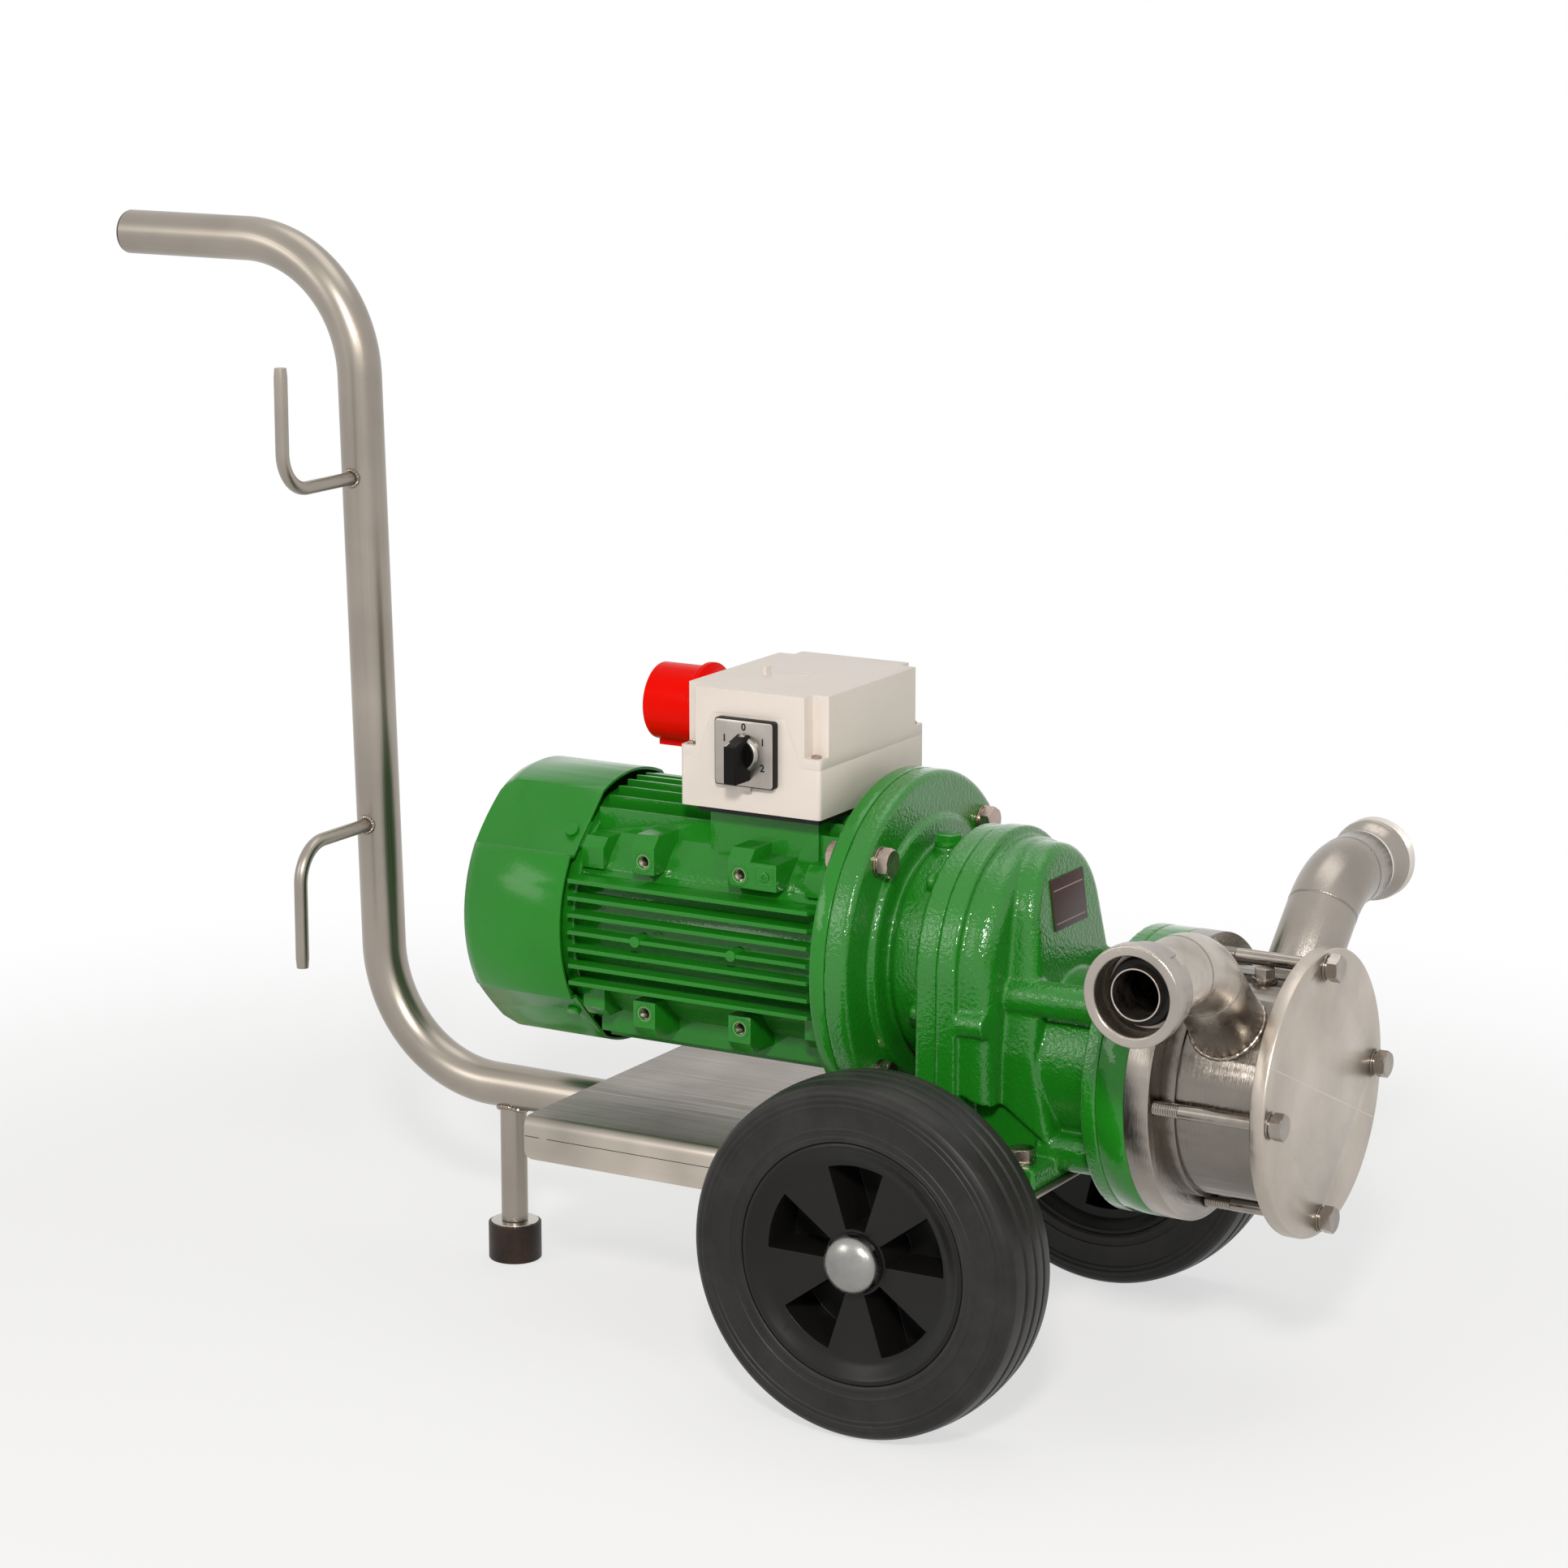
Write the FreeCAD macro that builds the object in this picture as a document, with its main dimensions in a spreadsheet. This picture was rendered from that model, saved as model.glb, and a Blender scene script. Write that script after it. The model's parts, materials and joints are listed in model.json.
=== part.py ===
import FreeCAD, Part
import math
import os

import Sketcher

# Flexible impeller pump on a two-wheel trolley.
# Millimetres, +X from the grip to the pump cover, +Y away from the switch, +Z up.
# The origin lies on the ground, in the middle of the overall length and width.

V = FreeCAD.Vector
doc = FreeCAD.newDocument("impeller_pump")

# Driving sizes
SIZES = {
    # overall stations, counted from the wheel axle
    "grip_reach": 753.5,
    "pump_axis_z": 225.3,
    "fit_gap": 0.05,
    "seat_gap": 0.3,
    # wheels and axle
    "wheel_r": 125.0,
    "tyre_w": 60.0,
    "tyre_crown": 3.0,
    "tyre_shoulder": 7.0,
    "wheel_face_y": 218.8,
    "rim_seat_r": 84.0,
    "rim_lip_r": 81.0,
    "rim_open_r": 67.0,
    "rim_barrel": 6.0,
    "rim_recess": 8.0,
    "rim_web": 5.0,
    "hub_r": 19.0,
    "bush_r": 13.0,
    "window_inner_r": 23.0,
    "window_angle": 36.0,
    "window_count": 5,
    "rib_inner_r": 27.0,
    "rib_angle": 26.0,
    "axle_r": 10.0,
    "spacer_r": 14.0,
    "cap_r": 21.0,
    "cap_dome": 15.0,
    "cap_wall": 1.5,
    # base plate
    "plate_top_z": 154.0,
    "plate_sheet": 3.0,
    "plate_back_x": -326.0,
    "plate_front_x": 79.0,
    "plate_half_w": 117.0,
    "plate_skirt": 31.5,
    "plate_bend_r": 8.0,
    "skirt_corner_r": 7.0,
    "bracket_w": 60.0,
    "bracket_thick": 8.0,
    "bracket_drop": 20.0,
    # handle tube
    "tube_r": 16.5,
    "tube_wall": 2.0,
    "tube_lean": 1.6,
    "bend_r": 100.0,
    "bend_back_x": -428.7,
    "grip_z": 760.5,
    "tube_front_x": -25.0,
    "cap_flange": 3.0,
    "cap_plug": 20.0,
    # cable hooks
    "hook_r": 5.0,
    "hook_bend": 29.0,
    "hook_reach": 101.0,
    "upper_hook_z": 589.0,
    "upper_hook_tip": 91.0,
    "lower_hook_z": 326.0,
    "lower_hook_tip": 92.0,
    # foot
    "foot_x": -412.6,
    "post_r": 10.0,
    "rubber_r": 20.0,
    "rubber_tall": 29.0,
    "disc_r": 18.0,
    "disc_thick": 2.5,
    "disc_proud": 1.0,
    # motor
    "gear_module": 1.5,
    "pinion_teeth": 18,
    "wheel_teeth": 68,
    "motor_core_r": 84.0,
    "fin_r": 97.0,
    "fin_thick": 3.0,
    "fin_step": 12.5,
    "fin_count": 7,
    "motor_back_x": -300.0,
    "motor_front_x": -98.0,
    "motor_bore_r": 79.0,
    "boss_z": 55.7,
    "boss_y": 85.0,
    "boss_size": 18.0,
    "boss_low": 9.0,
    "boss_edge": 10.3,
    "boss_top": 18.3,
    "boss_slope": 7.0,
    "boss_ledge_y": 50.0,
    "earth_back_x": -155.0,
    "earth_front_x": -134.0,
    "fin_lug_r": 4.0,
    "fin_lug_proud": 0.8,
    "fin_lug_depth": 14.0,
    "fin_nose": 7.0,
    "corner_len": 18.0,
    "corner_y": 76.0,
    "corner_low": 44.0,
    "corner_high": 66.0,
    "boss_hole_r": 4.2,
    "boss_tap": 19.0,
    "boss_relief_r": 5.0,
    "boss_relief": 4.0,
    "boss_back_x": -243.0,
    "boss_step": 79.0,
    "pad_back_x": -205.0,
    "pad_front_x": -117.0,
    "pad_half_y": 55.0,
    "flange_r": 125.0,
    "flange_thick": 12.3,
    "flange_seam_x": -73.4,
    "flange_pcd_r": 107.5,
    "flange_bolt_r": 6.0,
    "cowl_r": 101.0,
    "cowl_flat": 94.0,
    "cowl_wall": 2.0,
    "cowl_back_x": -392.0,
    "cowl_front_x": -304.0,
    "cowl_round": 12.0,
    "cowl_step": 19.5,
    "cowl_slope": 0.8125,
    "cowl_slots": 16,
    "slot_w": 4.0,
    "slot_in_r": 34.0,
    "slot_out_r": 80.0,
    "cowl_screw_x": -314.0,
    "cowl_lug_w": 22.0,
    "cowl_screw_r": 2.5,
    "cowl_head_r": 5.0,
    "shield_thick": 12.0,
    "fan_r": 76.0,
    "fan_hub_r": 20.0,
    "fan_blades": 8,
    "fan_back_x": -374.0,
    "fan_front_x": -332.0,
    "shaft_r": 15.0,
    "pinion_bore_r": 8.0,
    "rotor_r": 54.4,
    "stator_in_r": 55.0,
    "stack_back_x": -255.0,
    "stack_front_x": -150.0,
    "bearing_r": 26.0,
    "bearing_w": 14.0,
    # gearbox
    "input_face_x": -56.5,
    "input_ring_r": 94.0,
    "input_ring_h": 5.0,
    "neck_r": 79.0,
    "neck_front_x": -38.0,
    "filler_x": -32.5,
    "filler_y": -20.0,
    "filler_boss_r": 11.0,
    "cover_rim_x": -20.0,
    "cover_boss_r": 6.5,
    "cover_boss_at": 83.0,
    "cover_boss_len": 9.0,
    "case_seam_x": -4.0,
    "case_half_w": 93.0,
    "case_step_x": 11.0,
    "case_step": 6.5,
    "case_front_x": 34.0,
    "case_round": 14.0,
    "side_boss_r": 9.2,
    "side_boss_y": 83.5,
    "side_boss_drop": 27.8,
    "side_boss_len": 21.0,
    "nose_r": 52.0,
    "nose_up": 33.2,
    "nose_flare": 9.0,
    "nose_low_w": 66.0,
    "nose_knee_up": 36.7,
    "nose_knee_x": 60.0,
    "nose_lean": 7.1,
    "nose_hip_up": 14.7,
    "nose_toe_x": 72.0,
    "nose_toe_up": 28.0,
    "nose_round": 8.0,
    "foot_half_w": 97.0,
    "foot_thick": 16.0,
    "foot_back_x": 4.0,
    "foot_front_x": 75.0,
    "foot_bolt_x": 58.0,
    "foot_bolt_y": 81.0,
    "arch_y": 60.5,
    "arch_back_up": 58.0,
    "arch_mid_up": 49.0,
    "arch_front_up": 23.0,
    "gear_room_r": 56.0,
    "pinion_room_r": 20.0,
    "gear_back_x": 0.0,
    "gear_w": 26.0,
    "snout_r": 62.0,
    "lug_r": 13.0,
    "lug_spot": 53.0,
    "output_flange_x": 110.5,
    "output_flange_thick": 12.0,
    "output_shaft_r": 15.0,
    "plate_w": 50.0,
    "plate_h": 36.0,
    "plate_z": 47.0,
    # pump head
    "head_r": 100.0,
    "adapter_thick": 20.6,
    "adapter_bore_r": 45.0,
    "back_plate_thick": 18.3,
    "body_r": 79.0,
    "body_bore_r": 66.0,
    "body_len": 73.4,
    "step_r": 82.0,
    "step_len": 11.0,
    "cover_r": 99.5,
    "cover_thick": 10.7,
    "bolt_pcd_r": 88.3,
    "bolt_count": 4,
    "bolt_r": 5.0,
    "bolt_hole_r": 5.5,
    "bolt_flats": 17.0,
    "bolt_head": 7.5,
    "bolt_grip": 13.0,
    "washer_r": 9.5,
    "washer_thick": 3.0,
    "flange_bolt_flats": 19.0,
    "flange_washer_r": 11.0,
    "seal_r": 21.0,
    "seal_len": 17.0,
    "pump_shaft_r": 10.0,
    "impeller_r": 57.5,
    "impeller_hub_r": 22.0,
    "blade_thick": 7.0,
    "tip_r": 5.5,
    "blade_count": 6,
    "side_gap": 1.5,
    "cam_in_r": 58.0,
    "cam_angle": 80.0,
    "ring_mid_r": 72.5,
    "ring_section_r": 1.75,
    "vent_x": 207.0,
    "vent_y": -16.0,
    "vent_r": 4.0,
    "vent_boss_r": 8.5,
    "vent_boss_tall": 3.0,
    "vent_flats": 13.0,
    "vent_tall": 6.0,
    # ports
    "port_x": 198.0,
    "port_r": 25.0,
    "port_wall": 2.0,
    "elbow_r": 62.0,
    "near_port_z": 334.0,
    "near_tube_y": 176.0,
    "near_face_y": 205.6,
    "liner_r": 17.5,
    "liner_bore_r": 16.5,
    "liner_back": 6.6,
    "collar_r": 24.5,
    "collar_w": 5.0,
    "nut_r": 34.2,
    "nut_waist_r": 31.0,
    "nut_ring_w": 12.0,
    "nut_thread_r": 26.5,
    "nut_slot_w": 8.0,
    "far_port_z": 344.0,
    "far_tube_y": 166.0,
    "far_neck_r": 23.0,
    "far_thread_r": 28.8,
    "far_thread_w": 15.0,
    "far_flare_w": 12.0,
    "far_end_y": 199.0,
    "far_bore_r": 19.0,
    # switch box
    "box_back_x": -217.5,
    "box_front_x": -104.5,
    "box_half_y": 75.5,
    "box_floor_z": 389.0,
    "box_seam": 35.5,
    "box_tall": 86.0,
    "box_wall": 3.0,
    "corner_cut": 12.5,
    "corner_floor": 43.0,
    "gasket_thick": 4.0,
    "tab_low_w": 84.0,
    "tab_top_w": 58.0,
    "tab_tall": 33.5,
    "switch_x": -162.0,
    "switch_up": 43.0,
    "switch_size": 48.0,
    "switch_thick": 6.0,
    "switch_hole_r": 9.0,
    "spindle_r": 4.0,
    "knob_disc_r": 13.5,
    "knob_disc_thick": 4.0,
    "lever_w": 9.5,
    "lever_up": 11.0,
    "lever_down": 19.0,
    "lever_proud": 20.0,
    "block_size": 44.0,
    "block_depth": 40.0,
    "inlet_y": -12.0,
    "inlet_up": 58.5,
    "inlet_face_x": -271.0,
    "inlet_r": 27.8,
    "inlet_wall": 3.0,
    "inlet_collar_r": 31.0,
    "inlet_neck_r": 21.5,
    "inlet_floor": 22.0,
    "pin_r": 2.5,
    "pin_circle_r": 13.5,
    "pin_len": 19.0,
    "pin_count": 5,
    "lid_screw_r": 2.0,
    "lid_head_r": 3.6,
}

sheet = doc.addObject("Spreadsheet::Sheet", "Sizes")
for row, (alias, value) in enumerate(SIZES.items(), 1):
    sheet.set("A%d" % row, alias)
    sheet.set("B%d" % row, str(value))
    sheet.setAlias("B%d" % row, alias)
doc.recompute()


class Size:
    """A number together with the sheet expression that it comes from."""

    def __init__(self, value, text):
        self.value = value
        self.text = text

    def __add__(self, other):
        return Size(self.value + number(other), "(%s + %s)" % (self.text, wording(other)))

    def __radd__(self, other):
        return Size(other + self.value, "(%s + %s)" % (wording(other), self.text))

    def __sub__(self, other):
        return Size(self.value - number(other), "(%s - %s)" % (self.text, wording(other)))

    def __rsub__(self, other):
        return Size(other - self.value, "(%s - %s)" % (wording(other), self.text))

    def __mul__(self, other):
        return Size(self.value * number(other), "(%s * %s)" % (self.text, wording(other)))

    def __rmul__(self, other):
        return Size(other * self.value, "(%s * %s)" % (wording(other), self.text))

    def __truediv__(self, other):
        return Size(self.value / number(other), "(%s / %s)" % (self.text, wording(other)))

    def __neg__(self):
        return Size(-self.value, "(0 - %s)" % self.text)


class Sheet:
    """Reads a size from the sheet by its alias."""

    def __getattr__(self, alias):
        return Size(float(sheet.get(alias)), "Sizes." + alias)


S = Sheet()


def number(size):
    return size.value if isinstance(size, Size) else float(size)


def wording(size):
    return size.text if isinstance(size, Size) else repr(size)


def cosine(angle):
    return Size(math.cos(math.radians(number(angle))), "cos(%s)" % wording(angle))


def sine(angle):
    return Size(math.sin(math.radians(number(angle))), "sin(%s)" % wording(angle))


def root(size):
    return Size(math.sqrt(number(size)), "sqrt(%s)" % wording(size))


def bind(item, prop, size):
    if isinstance(size, Size):
        item.setExpression(prop, size.text)


# Rotations that carry a primitive's own axis to the wanted one
FROM_Z = {
    "X": ((0, 1, 0), 90), "-X": ((0, 1, 0), -90),
    "Y": ((1, 0, 0), -90), "-Y": ((1, 0, 0), 90),
    "Z": ((0, 0, 1), 0), "-Z": ((1, 0, 0), 180),
}
FROM_X = {
    "X": ((0, 0, 1), 0), "-X": ((0, 0, 1), 180),
    "Y": ((0, 0, 1), 90), "-Y": ((0, 0, 1), -90),
    "Z": ((0, 1, 0), -90), "-Z": ((0, 1, 0), 90),
}


def place(item, spot, turn=((0, 0, 1), 0)):
    axis, angle = turn
    where = V(*[number(size) for size in spot])
    item.Placement = FreeCAD.Placement(where, FreeCAD.Rotation(V(*axis), number(angle)))
    for letter, size in zip("xyz", spot):
        bind(item, "Placement.Base." + letter, size)
    bind(item, "Placement.Rotation.Angle", angle)
    return item


def primitive(kind, spot, turn, **sizes):
    item = doc.addObject(kind, "solid")
    for prop, size in sizes.items():
        setattr(item, prop, number(size))
        bind(item, prop, size)
    return place(item, spot, turn)


def rod(radius, length, spot, axis="X"):
    return primitive("Part::Cylinder", spot, FROM_Z[axis], Radius=radius, Height=length)


def block(low, high):
    spans = [b - a for a, b in zip(low, high)]
    return primitive("Part::Box", low, FROM_Z["Z"], Length=spans[0], Width=spans[1], Height=spans[2])


def hexagon(flats, length, spot, axis="X"):
    item = doc.addObject("Part::Prism", "hexagon")
    item.Polygon = 6
    corner = flats / math.sqrt(3)
    item.Circumradius = number(corner)
    item.Height = number(length)
    bind(item, "Circumradius", corner)
    bind(item, "Height", length)
    return place(item, spot, FROM_Z[axis])


def join(*items, refine=True):
    item = doc.addObject("Part::MultiFuse", "joined")
    item.Shapes = list(items)
    item.Refine = refine
    return item


def less(base, *tools):
    tool = tools[0] if len(tools) == 1 else join(*tools)
    item = doc.addObject("Part::Cut", "trimmed")
    item.Base = base
    item.Tool = tool
    return item


def overlap(first, second):
    item = doc.addObject("Part::Common", "shared")
    item.Base = first
    item.Tool = second
    return item


def bundle(*items):
    item = doc.addObject("Part::Compound", "bundle")
    item.Links = list(items)
    return item


nodes = []


def node(name, item):
    item.Label = name
    nodes.append(item)
    return item


def plane(body, role):
    return [feature for feature in body.Origin.OriginFeatures if feature.Role == role][0]


def sketch_on(body, role):
    sketch = body.newObject("Sketcher::SketchObject", "sketch")
    sketch.AttachmentSupport = [(plane(body, role), "")]
    sketch.MapMode = "FlatFace"
    return sketch


def pin_point(sketch, edge, end, across, up):
    """Ties one point of a sketch to the sheet, or to an axis where it is zero."""
    for kind, axis, size in (("DistanceX", -2, across), ("DistanceY", -1, up)):
        if number(size) == 0:
            sketch.addConstraint(Sketcher.Constraint("PointOnObject", edge, end, axis))
            continue
        index = sketch.addConstraint(Sketcher.Constraint(kind, -1, 1, edge, end, number(size)))
        if isinstance(size, Size):
            name = "%s%d" % (kind[-1].lower(), index)
            sketch.renameConstraint(index, name)
            sketch.setExpression("Constraints." + name, size.text)


def outline(sketch, points):
    """Draws a closed polygon whose corners are all tied to the sheet."""
    count = len(points)
    spots = [V(number(a), number(b), 0) for a, b in points]
    for index in range(count):
        sketch.addGeometry(Part.LineSegment(spots[index], spots[(index + 1) % count]))
    for index in range(count):
        sketch.addConstraint(Sketcher.Constraint("Coincident", index, 2, (index + 1) % count, 1))
    for index, (across, up) in enumerate(points):
        pin_point(sketch, index, 1, across, up)


def turned(points, spot, axis="X"):
    """A body of revolution from (along the axis, radius) points."""
    body = doc.addObject("PartDesign::Body", "turned")
    sketch = sketch_on(body, "XZ_Plane")
    outline(sketch, points)
    revolution = body.newObject("PartDesign::Revolution", "revolution")
    revolution.Profile = sketch
    revolution.ReferenceAxis = (sketch, ["H_Axis"])
    revolution.Angle = 360
    place(body, spot, FROM_X[axis])
    doc.recompute()
    return body


def extruded(points, length, spot, role="YZ_Plane", turn=((0, 0, 1), 0)):
    """A body padded from a polygon on one of its own planes."""
    body = doc.addObject("PartDesign::Body", "extruded")
    sketch = sketch_on(body, role)
    outline(sketch, points)
    pad = body.newObject("PartDesign::Pad", "pad")
    pad.Profile = sketch
    pad.Length = number(length)
    bind(pad, "Length", length)
    place(body, spot, turn)
    doc.recompute()
    return body


def ring_of_holes(body, circle_r, hole_r, count):
    """Through holes on a circle round the body's own X axis, the first at +Y."""
    sketch = sketch_on(body, "YZ_Plane")
    sketch.addGeometry(Part.Circle(V(number(circle_r), 0, 0), V(0, 0, 1), number(hole_r)))
    index = sketch.addConstraint(Sketcher.Constraint("Radius", 0, number(hole_r)))
    sketch.renameConstraint(index, "hole")
    sketch.setExpression("Constraints.hole", wording(hole_r))
    pin_point(sketch, 0, 3, circle_r, 0)
    pocket = body.newObject("PartDesign::Pocket", "holes")
    pocket.Profile = sketch
    pocket.Type = "ThroughAll"
    pocket.Midplane = True
    doc.recompute()
    pattern = body.newObject("PartDesign::PolarPattern", "pattern")
    pattern.Originals = [pocket]
    pattern.Axis = (plane(body, "X_Axis"), [""])
    pattern.Angle = 360
    pattern.Occurrences = int(number(count))
    pattern.setExpression("Occurrences", wording(count))
    body.Tip = pattern
    doc.recompute()
    return body


def rounded(base, radius, choose):
    """Fillets the edges that a test picks."""
    doc.recompute()
    item = doc.addObject("Part::Fillet", "rounded")
    item.Base = base
    size = number(radius)
    item.Edges = [(i, size, size) for i, edge in enumerate(base.Shape.Edges, 1) if choose(edge)]
    return item


def plain(shape, spot=(0, 0, 0), turn=((0, 0, 1), 0)):
    item = doc.addObject("Part::Feature", "shape")
    item.Shape = shape
    return place(item, spot, turn)


def straight(edge):
    return edge.Curve.TypeId == "Part::GeomLine"


def along(edge, letter):
    if not straight(edge):
        return False
    run = edge.Vertexes[-1].Point - edge.Vertexes[0].Point
    return abs(getattr(run, letter)) > 0.999 * run.Length


# Stations shared by several pieces
cover_back = S.output_flange_x + S.output_flange_thick + S.adapter_thick + S.back_plate_thick + S.body_len
cover_front = cover_back + S.cover_thick
pump_reach = cover_front + S.washer_thick + S.bolt_head
axle_x = (S.grip_reach - pump_reach) / 2
axle_z = S.wheel_r
pump_z = S.pump_axis_z
centre_gap = (S.pinion_teeth + S.wheel_teeth) * S.gear_module / 2
motor_z = pump_z + centre_gap


def at(x):
    """A station counted from the axle, in the part's own frame."""
    return axle_x + x


# Wheels: rubber tyre, plastic centre with blind windows from both faces, bush on the axle
wheel_in_y = S.wheel_face_y - S.tyre_w
hub_out = S.tyre_w - S.rim_recess + S.seat_gap * 3


def tyre(side):
    w = S.tyre_w
    groove = 1.2
    points = [
        (S.rim_barrel, S.rim_seat_r + S.seat_gap), (w - S.rim_barrel, S.rim_seat_r + S.seat_gap),
        (w - 2.0, S.rim_seat_r + 2.0), (w, S.rim_seat_r + 10.0), (w, S.wheel_r - S.tyre_shoulder * 2),
        (w - 2.5, S.wheel_r - S.tyre_shoulder), (w - 8.0, S.wheel_r - S.tyre_crown),
    ]
    for share in (0.72, 0.5, 0.28):
        points += [
            (w * share + groove, S.wheel_r - groove * abs(share - 0.5) * 8), (w * share, S.wheel_r - 3.0),
            (w * share - groove, S.wheel_r - groove * abs(share - 0.5) * 8),
        ]
    points += [
        (8.0, S.wheel_r - S.tyre_crown), (2.5, S.wheel_r - S.tyre_shoulder),
        (0, S.wheel_r - S.tyre_shoulder * 2), (0, S.rim_seat_r + 10.0), (2.0, S.rim_seat_r + 2.0),
    ]
    return turned(points, (axle_x, wheel_in_y * side, axle_z), "Y" if side > 0 else "-Y")


def pockets(body, start, depth, window, forward):
    """Sinks a ring of blind windows into a wheel centre, forward or backward along its axis."""
    inner, outer, half, middle = [number(size) for size in window]
    sketch = sketch_on(body, "YZ_Plane")
    corners = []
    for radius, angle in ((inner, -half), (outer, -half), (outer, half), (inner, half)):
        turn = math.radians(middle + angle)
        corners.append(V(radius * math.sin(turn), radius * math.cos(turn), 0))
    turn = math.radians(middle)
    outer_mid = V(outer * math.sin(turn), outer * math.cos(turn), 0)
    inner_mid = V(inner * math.sin(turn), inner * math.cos(turn), 0)
    sketch.addGeometry(Part.LineSegment(corners[0], corners[1]))
    sketch.addGeometry(Part.Arc(corners[1], outer_mid, corners[2]))
    sketch.addGeometry(Part.LineSegment(corners[2], corners[3]))
    sketch.addGeometry(Part.Arc(corners[3], inner_mid, corners[0]))
    sketch.AttachmentOffset = FreeCAD.Placement(V(0, 0, number(start)), FreeCAD.Rotation())
    sketch.setExpression("AttachmentOffset.Base.z", start.text)
    pocket = body.newObject("PartDesign::Pocket", "window")
    pocket.Profile = sketch
    pocket.Reversed = forward
    pocket.Length = number(depth)
    bind(pocket, "Length", depth)
    doc.recompute()
    pattern = body.newObject("PartDesign::PolarPattern", "pattern")
    pattern.Originals = [pocket]
    pattern.Axis = (plane(body, "X_Axis"), [""])
    pattern.Angle = 360
    pattern.Occurrences = int(number(S.window_count))
    pattern.setExpression("Occurrences", S.window_count.text)
    body.Tip = pattern
    doc.recompute()


def rim(side):
    w = S.tyre_w
    face = w - S.rim_recess
    barrel_r = S.rim_seat_r - S.rim_barrel
    bore = S.bush_r + S.fit_gap
    points = [
        (0.5, bore), (0.5, S.hub_r), (S.rim_web * 2, S.hub_r), (S.rim_web * 2, barrel_r - 4.0),
        (S.rim_barrel, barrel_r), (2.0, S.rim_lip_r), (2.0, S.rim_seat_r), (w - 2.0, S.rim_seat_r),
        (w - 1.0, S.rim_lip_r), (w - 3.0, S.rim_lip_r - 3.0), (face, S.rim_open_r + 2.0),
        (face, S.hub_r), (hub_out, S.hub_r), (hub_out, bore),
    ]
    body = turned(points, (axle_x, wheel_in_y * side, axle_z), "Y" if side > 0 else "-Y")
    front_depth = w - S.rim_web * 3
    back_depth = face - S.rim_web
    pockets(body, w, front_depth, (S.window_inner_r, S.rim_open_r, S.window_angle / 2, 0.0), False)
    pockets(body, w * 0, back_depth, (S.rib_inner_r, S.rim_open_r, S.rib_angle / 2, 36.0), True)
    return body


def bush(side):
    points = [
        (0.5, S.axle_r + S.fit_gap), (0.5, S.bush_r), (hub_out, S.bush_r), (hub_out, S.axle_r + S.fit_gap),
    ]
    return turned(points, (axle_x, wheel_in_y * side, axle_z), "Y" if side > 0 else "-Y")


for side, word in ((-1, "near"), (1, "far")):
    node(word + "_tyre", tyre(side))
    node(word + "_wheel_rim", rim(side))
    node(word + "_wheel_bush", bush(side))

# Axle with its spacers and domed end caps
cap_base = wheel_in_y + hub_out + S.seat_gap
axle_half = cap_base + S.cap_dome / 2
node("axle", rod(S.axle_r, axle_half * 2, (axle_x, -axle_half, axle_z), "Y"))
spacers = []
caps = []
for side, axis in ((-1, "-Y"), (1, "Y")):
    tube = [
        (0, S.axle_r), (0, S.spacer_r), (wheel_in_y - S.plate_half_w, S.spacer_r),
        (wheel_in_y - S.plate_half_w, S.axle_r),
    ]
    spacers.append(turned(tube, (axle_x, S.plate_half_w * side, axle_z), axis))
    ball_r = (S.cap_r * S.cap_r + S.cap_dome * S.cap_dome) / (S.cap_dome * 2)
    ball = primitive("Part::Sphere", (axle_x, (cap_base + S.cap_dome - ball_r) * side, axle_z),
                     FROM_Z["Z"], Radius=ball_r)
    keep = rod(S.cap_r, S.cap_dome * 1.5, (axle_x, cap_base * side, axle_z), axis)
    hollow = rod(S.axle_r, S.cap_dome / 2, (axle_x, cap_base * side, axle_z), axis)
    caps.append(less(overlap(ball, keep), hollow))
node("axle_spacers", bundle(*spacers))
node("axle_caps", bundle(*caps))

# Base plate: one bent sheet with side skirts, notched over the axle
plate_len = S.plate_front_x - S.plate_back_x
plate_w = S.plate_half_w * 2
skirt_z = S.plate_top_z - S.plate_skirt
sheet_t = S.plate_sheet
plate_outline = [
    (0, 0), (sheet_t, 0), (sheet_t, S.plate_skirt - sheet_t), (plate_w - sheet_t, S.plate_skirt - sheet_t),
    (plate_w - sheet_t, 0), (plate_w, 0), (plate_w, S.plate_skirt), (0, S.plate_skirt),
]
blank = extruded(plate_outline, plate_len, (at(S.plate_back_x), -S.plate_half_w, skirt_z))
top_z = number(S.plate_top_z)
low_z = number(skirt_z)
blank = rounded(blank, S.plate_bend_r, lambda e: along(e, "x") and e.BoundBox.ZMin > top_z - 0.01)
inner_bend = S.plate_bend_r - sheet_t
inner_z = top_z - number(sheet_t)
blank = rounded(blank, inner_bend, lambda e: along(e, "x") and abs(e.BoundBox.ZMin - inner_z) < 0.01
                and abs(e.BoundBox.YMin) > number(S.plate_half_w) - 2 * number(sheet_t))
blank = rounded(blank, S.skirt_corner_r, lambda e: along(e, "y") and e.BoundBox.ZMax < low_z + 0.01)
notch = rod(S.axle_r + S.seat_gap, plate_w, (axle_x, -S.plate_half_w, axle_z), "Y")
drop = block((axle_x - S.axle_r - S.seat_gap, -S.plate_half_w, skirt_z - 1.0),
             (axle_x + S.axle_r + S.seat_gap, S.plate_half_w, axle_z))
node("base_plate", less(blank, notch, drop))

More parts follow.
